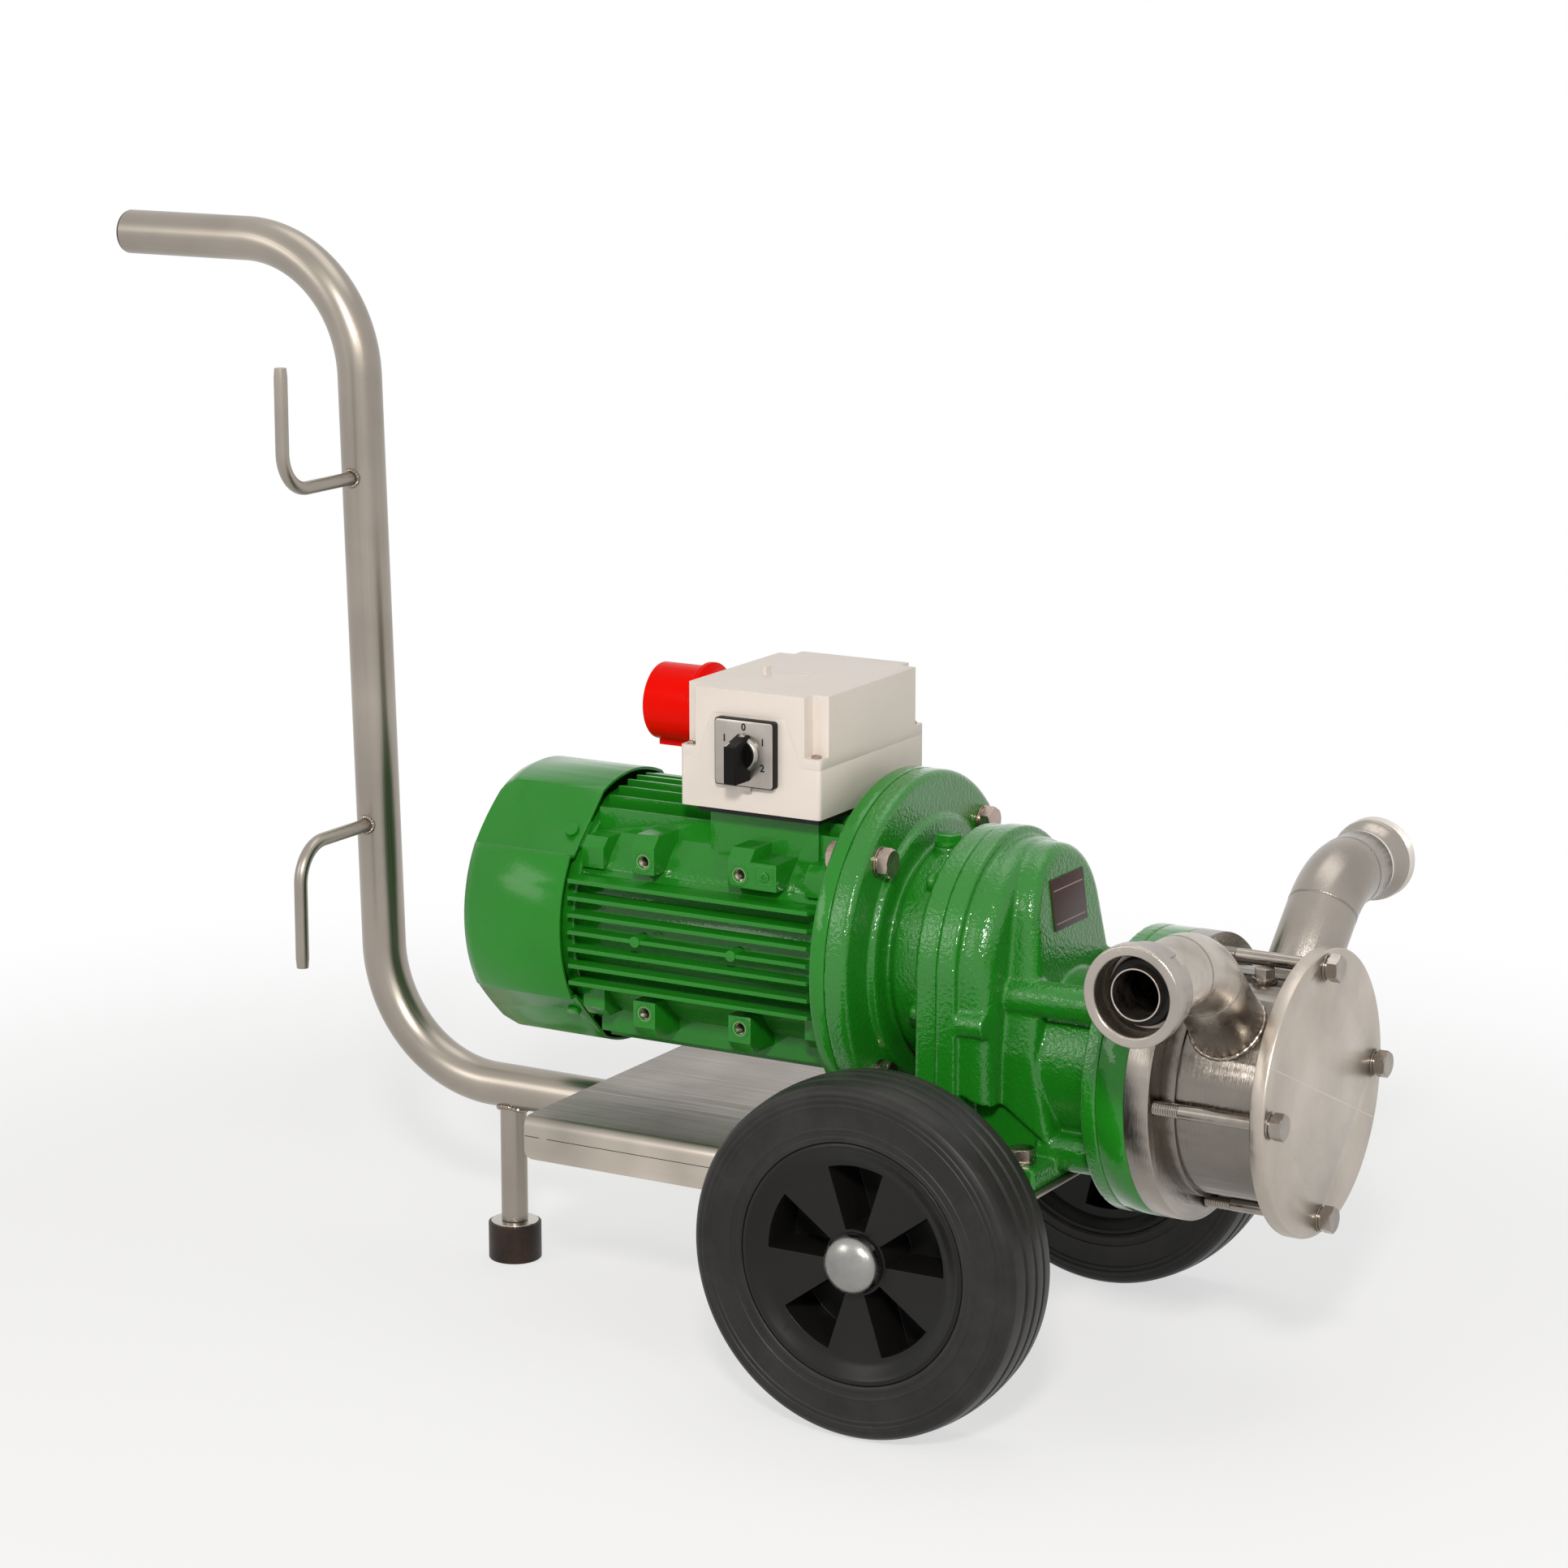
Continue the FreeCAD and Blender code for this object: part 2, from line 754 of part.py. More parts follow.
brackets = []
for side in (-1, 1):
    inner = (S.plate_half_w - sheet_t - S.bracket_thick) * side
    outer = (S.plate_half_w - sheet_t) * side
    low_y, high_y = (outer, inner) if side < 0 else (inner, outer)
    cheek = block((axle_x - S.bracket_w / 2, low_y, axle_z - S.bracket_drop),
                  (axle_x + S.bracket_w / 2, high_y, S.plate_top_z - S.plate_bend_r))
    lift = block((axle_x - S.bracket_w / 2, (S.plate_half_w - S.plate_bend_r - S.bracket_thick) * side
                  if side > 0 else -(S.plate_half_w - S.plate_bend_r), S.plate_top_z - S.plate_bend_r),
                 (axle_x + S.bracket_w / 2, (S.plate_half_w - S.plate_bend_r) * side
                  if side > 0 else -(S.plate_half_w - S.plate_bend_r - S.bracket_thick),
                  S.plate_top_z - sheet_t))
    bore = rod(S.axle_r, S.plate_half_w * 2, (axle_x, -S.plate_half_w, axle_z), "Y")
    brackets.append(less(join(cheek, lift), bore))
node("axle_brackets", bundle(*brackets))

# Handle tube: straight runs and two round bends of one bent pipe
tube_z = S.plate_top_z - sheet_t - S.tube_r
lean = S.tube_lean
low_centre = (at(S.bend_back_x), 0, tube_z + S.bend_r)
low_end = (low_centre[0] - S.bend_r * cosine(lean), low_centre[2] - S.bend_r * sine(lean))
top_start_z = S.grip_z - S.bend_r + S.bend_r * sine(lean)
rise = (top_start_z - low_end[1]) / cosine(lean)
top_start_x = low_end[0] - rise * sine(lean)
top_centre = (top_start_x - S.bend_r * cosine(lean), 0, S.grip_z - S.bend_r)
grip_len = top_centre[0] + S.grip_reach - S.cap_flange - axle_x


def tube_solid(radius, spare):
    """The whole pipe at one radius, its open ends lengthened by a spare amount."""
    foot_run = rod(radius, S.tube_front_x - S.bend_back_x + spare, (at(S.bend_back_x), 0, tube_z), "X")
    low_bend = primitive("Part::Torus", low_centre, ((1, 0, 0), 90), Radius1=S.bend_r, Radius2=radius)
    upright = primitive("Part::Cylinder", (low_end[0], 0, low_end[1]), ((0, 1, 0), -lean),
                        Radius=radius, Height=rise)
    top_bend = primitive("Part::Torus", top_centre, ((1, 0, 0), 90), Radius1=S.bend_r, Radius2=radius)
    for bend, start in ((low_bend, 180 + lean), (top_bend, lean)):
        bend.Angle3 = number(90 - lean)
        bind(bend, "Angle3", 90 - lean)
        turn = FreeCAD.Rotation(V(1, 0, 0), 90) * FreeCAD.Rotation(V(0, 0, 1), number(start))
        bend.Placement.Rotation = turn
    grip = rod(radius, grip_len + spare, (top_centre[0], 0, S.grip_z), "-X")
    return join(foot_run, low_bend, upright, top_bend, grip)


node("handle_tube", less(tube_solid(S.tube_r, 0), tube_solid(S.tube_r - S.tube_wall, 1.0)))

end_cap = [
    (0, 0), (0, S.tube_r - 3.0), (1.0, S.tube_r - 0.8), (S.cap_flange, S.tube_r),
    (S.cap_flange, S.tube_r - S.tube_wall), (S.cap_plug, S.tube_r - S.tube_wall - 0.5), (S.cap_plug, 0),
]
node("handle_end_cap", turned(end_cap, (axle_x - S.grip_reach, 0, S.grip_z), "X"))


def hook(weld_z, tip, up):
    """A round bar from the tube towards -Y, bent up or down at its end."""
    weld_x = low_end[0] - (weld_z - low_end[1]) * sine(lean) / cosine(lean)
    arm = S.hook_reach - S.hook_bend
    bar = rod(S.hook_r, arm, (weld_x, 0, weld_z), "-Y")
    bend_z = weld_z + S.hook_bend * up
    bend = primitive("Part::Torus", (weld_x, -arm, bend_z), ((0, 1, 0), 90),
                     Radius1=S.hook_bend, Radius2=S.hook_r)
    bend.Angle3 = 90
    start = 270 if up > 0 else 180
    turn = FreeCAD.Rotation(V(0, 1, 0), 90) * FreeCAD.Rotation(V(0, 0, 1), start)
    bend.Placement.Rotation = turn
    stem = rod(S.hook_r, tip - S.hook_bend, (weld_x, -S.hook_reach, bend_z), "Z" if up > 0 else "-Z")
    core = primitive("Part::Cylinder", (low_end[0], 0, low_end[1]), ((0, 1, 0), -lean),
                     Radius=S.tube_r, Height=rise)
    return less(join(bar, bend, stem), core)


node("cable_hooks", bundle(hook(S.upper_hook_z, S.upper_hook_tip, 1),
                           hook(S.lower_hook_z, S.lower_hook_tip, -1)))

# Rest: post welded under the tube, on a rubber buffer with a bonded steel disc
disc_top = S.rubber_tall + S.disc_proud
post = rod(S.post_r, tube_z - disc_top, (at(S.foot_x), 0, disc_top), "Z")
saddle = rod(S.tube_r, S.post_r * 4, (at(S.foot_x) - S.post_r * 2, 0, tube_z), "X")
node("foot_post", less(post, saddle))
node("foot_disc", rod(S.disc_r, S.disc_thick, (at(S.foot_x), 0, disc_top - S.disc_thick), "Z"))
pocket_z = disc_top - S.disc_thick
buffer = [
    (0, 0), (0, S.rubber_r - 1.0), (1.0, S.rubber_r), (S.rubber_tall, S.rubber_r),
    (S.rubber_tall, S.disc_r), (pocket_z, S.disc_r), (pocket_z, 0),
]
node("rubber_foot", turned(buffer, (at(S.foot_x), 0, 0), "Z"))

# Motor housing: round core, level side fins, upright top and bottom fins, bosses and pad
motor_len = S.motor_front_x - S.motor_back_x
core = rod(S.motor_core_r, motor_len, (at(S.motor_back_x), 0, motor_z), "X")
pieces = [core]
fin_half = (S.fin_count - 1) / 2
for index in range(int(SIZES["fin_count"])):
    offset = S.fin_step * (index - fin_half.value)
    reach = S.fin_r - 0.4 * abs(index - fin_half.value)
    pieces.append(block((at(S.motor_back_x), -reach, motor_z + offset - S.fin_thick / 2),
                        (at(S.motor_front_x), reach, motor_z + offset + S.fin_thick / 2)))
for index in range(-4, 5):
    offset = S.fin_step * index
    drop = root(S.fin_r * S.fin_r - offset * offset)
    pieces.append(block((at(S.motor_back_x), offset - S.fin_thick / 2, motor_z - drop),
                        (at(S.motor_front_x), offset + S.fin_thick / 2, motor_z + drop)))
boss_shape = [
    (S.boss_y / 2, S.boss_z - S.boss_low), (S.boss_y, S.boss_z - S.boss_low), (S.boss_y, S.boss_z + S.boss_edge),
    (S.boss_y - S.boss_slope, S.boss_z + S.boss_top), (S.boss_ledge_y, S.boss_z + S.boss_top),
]
corner_shape = [
    (S.boss_y / 2, S.corner_low), (S.corner_y, S.corner_low), (S.corner_y, S.corner_high - S.boss_slope),
    (S.corner_y - S.boss_slope, S.corner_high), (S.boss_y / 2, S.corner_high),
]
for side in (-1, 1):
    for up in (-1, 1):
        boss = [(y * side, z * up) for y, z in boss_shape]
        corner = [(y * side, z * up) for y, z in corner_shape]
        for step in (0, 1):
            back = at(S.boss_back_x + S.boss_step * step) - S.boss_size / 2
            pieces.append(extruded(boss, S.boss_size, (back, 0, motor_z)))
        for back in (S.motor_back_x, S.motor_front_x - S.corner_len):
            pieces.append(extruded(corner, S.corner_len, (at(back), 0, motor_z)))
earth_pad = [
    (-S.boss_y / 2, S.boss_z - S.boss_low), (-S.boss_y, S.boss_z - S.boss_low),
    (-S.boss_y, S.boss_z + S.boss_edge), (-S.boss_y / 2, S.boss_z + S.boss_edge),
]
pieces.append(extruded(earth_pad, S.earth_front_x - S.earth_back_x, (at(S.earth_back_x), 0, motor_z)))
for side, axis in ((-1, "Y"), (1, "-Y")):
    for step in (0, 1):
        lug_y = (S.fin_r + S.fin_lug_proud) * side
        pieces.append(rod(S.fin_lug_r, S.fin_lug_depth, (at(S.boss_back_x + S.boss_step * step), lug_y, motor_z), axis))
pieces.append(block((at(S.pad_back_x), -S.pad_half_y, motor_z),
                    (at(S.pad_front_x), S.pad_half_y, S.box_floor_z - S.gasket_thick)))
cuts = [rod(S.motor_bore_r, motor_len, (at(S.motor_back_x), 0, motor_z), "X"),
        block((at(S.pad_back_x), -S.pad_half_y, S.box_floor_z - S.gasket_thick),
              (at(S.pad_front_x), S.pad_half_y, S.box_floor_z + S.fin_r / 2))]
nose_cut = [(0, 0), (S.fin_nose, 0), (S.fin_nose, S.fin_nose * 2)]
for side in (-1, 1):
    points = [(x - S.fin_nose, (S.fin_r + 1.0 - y) * side) for x, y in nose_cut]
    cuts.append(extruded(points, S.boss_z * 1.5, (at(S.motor_front_x) + 1.0, 0, motor_z - S.boss_z * 0.75), "XY_Plane"))
for side, axis in ((-1, "Y"), (1, "-Y")):
    for up in (-1, 1):
        for step in (0, 1):
            tap_x = at(S.boss_back_x + S.boss_step * step)
            tap_z = motor_z + S.boss_z * up
            relief_y = (S.boss_y - S.boss_tap) * side
            cuts.append(rod(S.boss_hole_r, S.boss_tap, (tap_x, S.boss_y * side, tap_z), axis))
            cuts.append(rod(S.boss_relief_r, S.boss_relief, (tap_x, relief_y, tap_z), axis))
node("motor_housing", less(join(*pieces), *cuts))

# Motor end shields, stator, rotor, shaft, bearings
bearing_bore = S.shaft_r + S.fit_gap
shield_back = S.motor_back_x - S.shield_thick
rear_shield = turned([
    (0, S.bearing_r), (0, S.motor_core_r + 4.0), (S.shield_thick, S.motor_core_r + 4.0),
    (S.shield_thick, S.motor_bore_r), (S.shield_thick + 4.0, S.motor_bore_r),
    (S.shield_thick + 4.0, S.bearing_r + 8.0), (S.bearing_w, S.bearing_r + 8.0), (S.bearing_w, S.bearing_r),
], (at(shield_back), 0, motor_z))
cowl_lugs = []
cowl_taps = []
lug_start = S.motor_core_r - 4.0
lug_top = S.cowl_flat - S.cowl_wall
for angle in (45, 135, 225, 315):
    c = math.cos(math.radians(angle))
    s = math.sin(math.radians(angle))
    lug = primitive("Part::Box", (at(S.cowl_screw_x) - S.cowl_lug_w / 2, 0, motor_z), ((1, 0, 0), angle),
                    Length=S.cowl_lug_w, Width=lug_top - lug_start, Height=S.cowl_lug_w)
    bind(lug, "Placement.Base.y", lug_start * c + S.cowl_lug_w / 2 * s)
    bind(lug, "Placement.Base.z", motor_z + lug_start * s - S.cowl_lug_w / 2 * c)
    cowl_lugs.append(lug)
    cowl_taps.append(primitive(
        "Part::Cylinder", (at(S.cowl_screw_x), lug_start * c, motor_z + lug_start * s),
        ((1, 0, 0), angle - 90), Radius=S.cowl_screw_r, Height=S.cowl_flat - lug_start + 1.0))
node("rear_end_shield", less(join(rear_shield, *cowl_lugs), *cowl_taps))
shield_len = S.flange_seam_x - S.motor_front_x
flange_back = shield_len - S.flange_thick
front_shield = turned([
    (0, S.bearing_r), (0, S.motor_core_r + 6.0), (flange_back, S.motor_core_r + 6.0),
    (flange_back, S.flange_r - 1.5), (flange_back + 1.5, S.flange_r), (shield_len, S.flange_r),
    (shield_len, S.shaft_r + 4.0), (S.bearing_w, S.shaft_r + 4.0), (S.bearing_w, S.bearing_r),
], (at(S.motor_front_x), 0, motor_z))
bolt_ring = []
for angle in (45, 135, 225, 315):
    bolt_ring.append((S.flange_pcd_r * math.cos(math.radians(angle)),
                      motor_z + S.flange_pcd_r * math.sin(math.radians(angle))))
flange_holes = [rod(S.flange_bolt_r + S.seat_gap, shield_len, (at(S.motor_front_x), y, z))
                for y, z in bolt_ring]
node("motor_flange", less(front_shield, *flange_holes))
stack_len = S.stack_front_x - S.stack_back_x
node("stator", turned([
    (0, S.stator_in_r), (0, S.motor_bore_r), (stack_len, S.motor_bore_r), (stack_len, S.stator_in_r),
], (at(S.stack_back_x), 0, motor_z)))
node("rotor_core", turned([
    (0, S.shaft_r + S.fit_gap), (0, S.rotor_r), (stack_len, S.rotor_r), (stack_len, S.shaft_r + S.fit_gap),
], (at(S.stack_back_x), 0, motor_z)))
pinion_front = S.gear_back_x + S.gear_w + 2.0
pinion_back = S.gear_back_x - 2.0
shaft_back = S.fan_back_x + 4.0
node("motor_shaft", turned([
    (0, 0), (0, S.shaft_r - 3.0), (shield_back - shaft_back, S.shaft_r - 3.0),
    (shield_back - shaft_back, S.shaft_r), (S.flange_seam_x - shaft_back, S.shaft_r),
    (S.flange_seam_x - shaft_back, S.shaft_r - 3.0), (pinion_back - shaft_back - 2.0, S.shaft_r - 3.0),
    (pinion_back - shaft_back - 2.0, S.pinion_bore_r), (pinion_front - shaft_back, S.pinion_bore_r),
    (pinion_front - shaft_back, 0),
], (at(shaft_back), 0, motor_z)))
race = [(0, bearing_bore), (0, S.bearing_r), (S.bearing_w, S.bearing_r), (S.bearing_w, bearing_bore)]
node("motor_bearings", bundle(turned(race, (at(shield_back), 0, motor_z)),
                              turned(race, (at(S.motor_front_x), 0, motor_z))))

# Fan cowl: round shell with four corner flats and radial air slots in its back
cowl_len = S.cowl_front_x - S.cowl_back_x


def cowl_solid(back, length, radius, flat, corner, step):
    """A round drum with four flats, each with a sloped step on its side towards the fins."""
    drum = turned([(0, 0), (0, radius - corner), (corner * 0.3, radius - corner * 0.3), (corner, radius),
                   (length, radius), (length, 0)], (at(back), 0, motor_z))
    outside = radius + 1.0
    slope = step + (outside - flat) * S.cowl_slope
    flats = []
    for angle, hand in ((45, 1), (135, -1), (225, 1), (315, -1)):
        points = [(flat, step * -hand), (outside, slope * -hand),
                  (outside, radius * 0.6 * hand), (flat, radius * 0.6 * hand)]
        flats.append(extruded(points, length + 2.0, (at(back) - 1.0, 0, motor_z), turn=((1, 0, 0), angle)))
    return less(drum, *flats)


cowl_out = cowl_solid(S.cowl_back_x, cowl_len, S.cowl_r, S.cowl_flat, S.cowl_round, S.cowl_step)
cowl_in = cowl_solid(S.cowl_back_x + S.cowl_wall, cowl_len, S.cowl_r - S.cowl_wall,
                     S.cowl_flat - S.cowl_wall, S.cowl_round, S.cowl_step + S.cowl_wall * 0.475)
slots = []
for index in range(SIZES["cowl_slots"]):
    angle = 360.0 * index / SIZES["cowl_slots"]
    slot = primitive("Part::Box", (at(S.cowl_back_x) - 1.0, 0, motor_z), ((1, 0, 0), angle),
                     Length=S.cowl_wall + 2.0, Width=S.slot_out_r - S.slot_in_r, Height=S.slot_w)
    c = math.cos(math.radians(angle))
    s = math.sin(math.radians(angle))
    bind(slot, "Placement.Base.y", S.slot_in_r * c + S.slot_w / 2 * s)
    bind(slot, "Placement.Base.z", motor_z + S.slot_in_r * s - S.slot_w / 2 * c)
    slots.append(slot)
node("fan_cowl", less(cowl_out, cowl_in, *slots, *cowl_taps))

cowl_screws = []
for angle in (45, 135, 225, 315):
    c = math.cos(math.radians(angle))
    s = math.sin(math.radians(angle))
    screw = join(
        primitive("Part::Cylinder", (0, 0, 0), FROM_Z["Z"], Radius=S.cowl_head_r, Height=3.0),
        primitive("Part::Cylinder", (0, 0, -8.0), FROM_Z["Z"], Radius=S.cowl_screw_r - S.fit_gap, Height=8.0))
    where = (at(S.cowl_screw_x), S.cowl_flat * c, motor_z + S.cowl_flat * s)
    cowl_screws.append(place(screw, where, ((1, 0, 0), angle - 90)))
node("cowl_screws", bundle(*cowl_screws))

fan_len = S.fan_front_x - S.fan_back_x
fan = [turned([(0, S.shaft_r - 3.0 + S.fit_gap), (0, S.fan_hub_r), (fan_len - 3.0, S.fan_hub_r),
               (fan_len - 3.0, S.fan_r), (fan_len, S.fan_r), (fan_len, S.shaft_r - 3.0 + S.fit_gap)],
              (at(S.fan_back_x) + 6.0, 0, motor_z))]
for index in range(SIZES["fan_blades"]):
    angle = 360.0 * index / SIZES["fan_blades"]
    c = math.cos(math.radians(angle))
    s = math.sin(math.radians(angle))
    blade = primitive("Part::Box", (at(S.fan_back_x) + 12.0, 0, motor_z), ((1, 0, 0), angle),
                      Length=fan_len - 8.0, Width=S.fan_r - S.fan_hub_r + 1.0, Height=2.0)
    bind(blade, "Placement.Base.y", (S.fan_hub_r - 1.0) * c)
    bind(blade, "Placement.Base.z", motor_z + (S.fan_hub_r - 1.0) * s)
    fan.append(blade)
node("cooling_fan", join(*fan))

# Gearbox cover: input flange, raised ring, neck and rim in one casting
case_low = S.plate_top_z


def stadium(back, front, half_w, shrink):
    """An upright long-round block over both gear axes, flat where it meets the foot."""
    top = rod(half_w - shrink, front - back, (at(back), 0, motor_z))
    middle = block((at(back), -(half_w - shrink), case_low + shrink), (at(front), half_w - shrink, motor_z))
    return join(top, middle)


input_len = S.case_seam_x - S.flange_seam_x


def seen(x):
    return x - S.flange_seam_x


casting = turned([
    (0, 0), (0, S.flange_r), (seen(S.input_face_x) - 3.0, S.flange_r), (seen(S.input_face_x), S.flange_r - 3.0),
    (seen(S.input_face_x), S.input_ring_r), (seen(S.input_face_x) + S.input_ring_h, S.input_ring_r - 2.0),
    (seen(S.input_face_x) + S.input_ring_h, S.neck_r - 6.0), (seen(S.neck_front_x) - 6.0, S.neck_r),
    (seen(S.cover_rim_x) - 4.0, S.neck_r), (seen(S.cover_rim_x), S.neck_r + 8.0), (input_len, S.neck_r + 8.0),
    (input_len, 0),
], (at(S.flange_seam_x), 0, motor_z))
rim_block = stadium(S.cover_rim_x, S.case_seam_x, S.case_half_w - 1.5, 0)
cover_bosses = []
for side in (-1, 1):
    for angle in (-18, 48):
        c = math.cos(math.radians(angle)) * side
        s = math.sin(math.radians(angle))
        cover_bosses.append(rod(S.cover_boss_r, S.cover_boss_len + 2.0,
                                (at(S.cover_rim_x) - S.cover_boss_len, S.cover_boss_at * c,
                                 motor_z + S.cover_boss_at * s)))
shaft_way = rod(S.pinion_room_r, input_len, (at(S.flange_seam_x), 0, motor_z))
rear_pocket = rod(S.bearing_r, S.bearing_w, (at(S.case_seam_x) - S.bearing_w, 0, pump_z))
bolt_holes = [rod(S.flange_bolt_r + S.seat_gap, S.input_face_x - S.flange_seam_x, (at(S.flange_seam_x), y, z))
              for y, z in bolt_ring]
filler_spot = (at(S.filler_x), S.filler_y)
filler_z = motor_z + S.neck_r + S.seat_gap * 3
filler_boss = rod(S.filler_boss_r, S.neck_r / 4, (*filler_spot, filler_z - S.neck_r / 4), "Z")
cover_blank = join(casting, rim_block, filler_boss, *cover_bosses)
node("gearbox_cover", less(cover_blank, shaft_way, rear_pocket, *bolt_holes))

# Gearbox case: rim, stepped body, leaning arched nose, foot under two recesses, snout, lugs, output flange
case_rim = stadium(S.case_seam_x, S.case_step_x, S.case_half_w, 0)
body_half = S.case_half_w - S.case_step
case_shell = join(
    rod(body_half, S.case_front_x - S.case_seam_x, (at(S.case_seam_x), 0, motor_z)),
    block((at(S.case_seam_x), -body_half, case_low), (at(S.case_front_x), body_half, motor_z)))
doc.recompute()
front_x = number(at(S.case_front_x))
case_shell = rounded(case_shell, S.case_round, lambda e: e.BoundBox.XMin > front_x - 0.01
                     and e.BoundBox.ZMax > number(motor_z) - 5)
nose_back = S.case_step_x
nose_z = motor_z + S.nose_up
knee_up_z = pump_z + S.nose_knee_up
hip_z = pump_z + S.nose_hip_up
toe_z = case_low + S.nose_toe_up
nose_len = S.nose_toe_x - nose_back
flare_y = S.nose_r * cosine(S.nose_flare)
flare_z = nose_z + S.nose_r * sine(S.nose_flare)
flare_slope = sine(S.nose_flare) / cosine(S.nose_flare)
knee_z = flare_z - (S.nose_low_w - flare_y) / flare_slope
arch = rod(S.nose_r, nose_len, (at(nose_back), 0, nose_z))
skirt = extruded([
    (-S.nose_low_w, case_low), (S.nose_low_w, case_low), (S.nose_low_w, knee_z), (flare_y, flare_z),
    (-flare_y, flare_z), (-S.nose_low_w, knee_z),
], nose_len, (at(nose_back), 0, 0))
top_z = nose_z + S.nose_r + 1.0
lean = sine(S.nose_lean) / cosine(S.nose_lean)
lean_x = S.nose_knee_x - (top_z - knee_up_z) * lean
profile = extruded([
    (nose_back - 1.0, case_low), (S.nose_toe_x, case_low), (S.nose_toe_x, toe_z),
    (S.nose_knee_x, hip_z), (S.nose_knee_x, knee_up_z), (lean_x, top_z), (nose_back - 1.0, top_z),
], S.nose_low_w * 2 + 2.0, (axle_x, S.nose_low_w + 1.0, 0), "XZ_Plane")
nose = overlap(join(arch, skirt), profile)
doc.recompute()
nose_x = number(at(lean_x))
toe_top = number(toe_z) + 1.0
nose = rounded(nose, S.nose_round, lambda e: e.BoundBox.XMin > nose_x - 0.01 and not along(e, "y")
               and e.BoundBox.ZMax > toe_top)
foot_pad = block((at(S.foot_back_x), -S.foot_half_w, case_low),
                 (at(S.foot_front_x), S.foot_half_w, case_low + S.foot_thick))
foot_pad = rounded(foot_pad, 4.0, lambda e: along(e, "z"))
side_bosses = [rod(S.side_boss_r, S.side_boss_len, (at(S.case_step_x), S.side_boss_y * side, motor_z - S.side_boss_drop))
               for side in (-1, 1)]
arches = []
arch_points = [
    (S.case_step_x, case_low + S.foot_thick), (S.foot_front_x + 5.0, case_low + S.foot_thick),
    (S.nose_toe_x, case_low + S.arch_front_up), (S.case_front_x, case_low + S.arch_mid_up), (S.case_step_x, case_low + S.arch_back_up),
]
for y in (-S.arch_y, S.arch_y + S.nose_r):
    arches.append(extruded(arch_points, S.nose_r, (axle_x, y, 0), "XZ_Plane"))
snout = rod(S.snout_r, S.output_flange_x - S.case_front_x, (at(S.case_front_x), 0, pump_z))
output_flange = rod(S.head_r, S.output_flange_thick, (at(S.output_flange_x), 0, pump_z))
lugs = []
for side in (-1, 1):
    for up, lug_x in ((1, S.case_front_x - 6.0), (-1, S.nose_knee_x)):
        lugs.append(rod(S.lug_r, S.output_flange_x - lug_x,
                        (at(lug_x), S.lug_spot * side, pump_z + S.lug_spot * up)))
room = join(
    rod(S.gear_room_r, S.gear_w + 8.0, (at(S.case_seam_x), 0, pump_z)),
    rod(S.pinion_room_r, pinion_front + 4.0 - S.case_seam_x, (at(S.case_seam_x), 0, motor_z)))
front_pocket = rod(S.bearing_r, S.bearing_w, (at(S.case_front_x), 0, pump_z))
shaft_hole = rod(S.output_shaft_r + 2.0, S.output_flange_x + S.output_flange_thick, (axle_x, 0, pump_z))
foot_holes = [rod(5.5, S.foot_thick + 2.0, (at(S.foot_bolt_x), S.foot_bolt_y * side, case_low - 1.0), "Z")
              for side in (-1, 1)]
upper_case = less(join(case_shell, nose, *side_bosses), *arches)
node("gearbox_case", less(join(case_rim, upper_case, foot_pad, snout, output_flange, *lugs),
                          room, front_pocket, shaft_hole, *foot_holes))

# Fasteners of the gearbox
flange_bolts = []
for y, z in bolt_ring:
    start = S.flange_seam_x - S.flange_thick
    shank = rod(S.flange_bolt_r, S.input_face_x - start + 10.0, (at(start) - 10.0, y, z))
    ring = rod(S.flange_washer_r, S.washer_thick, (at(S.input_face_x), y, z))
    head = hexagon(S.flange_bolt_flats, S.bolt_head, (at(S.input_face_x) + S.washer_thick, y, z))
    nut = less(hexagon(S.flange_bolt_flats, 9.0, (at(start) - 9.0, y, z)),
               rod(S.flange_bolt_r, 9.0, (at(start) - 9.0, y, z)))
    flange_bolts += [join(shank, ring, head), nut]
node("flange_bolts", bundle(*flange_bolts))
foot_bolts = []
for side in (-1, 1):
    top = case_low + S.foot_thick
    spot_y = S.foot_bolt_y * side
    foot_bolts.append(join(
        rod(5.0, S.foot_thick, (at(S.foot_bolt_x), spot_y, case_low), "Z"),
        rod(10.0, 2.0, (at(S.foot_bolt_x), spot_y, top), "Z"),
        hexagon(17.0, 8.0, (at(S.foot_bolt_x), spot_y, top + 2.0), "Z")))
node("foot_bolts", bundle(*foot_bolts))
node("oil_filler_plug", join(rod(S.filler_boss_r - 1.0, 3.0, (*filler_spot, filler_z), "Z"),
                             hexagon(S.bolt_flats, 5.0, (*filler_spot, filler_z + 3.0), "Z")))
plate_low = motor_z + S.plate_z - S.plate_h / 2
plate_x = S.nose_knee_x - (plate_low - knee_up_z) * lean
node("nameplate", primitive("Part::Box", (at(plate_x), -S.plate_w / 2, plate_low), ((0, 1, 0), -S.nose_lean),
                            Length=1.0, Width=S.plate_w, Height=S.plate_h))


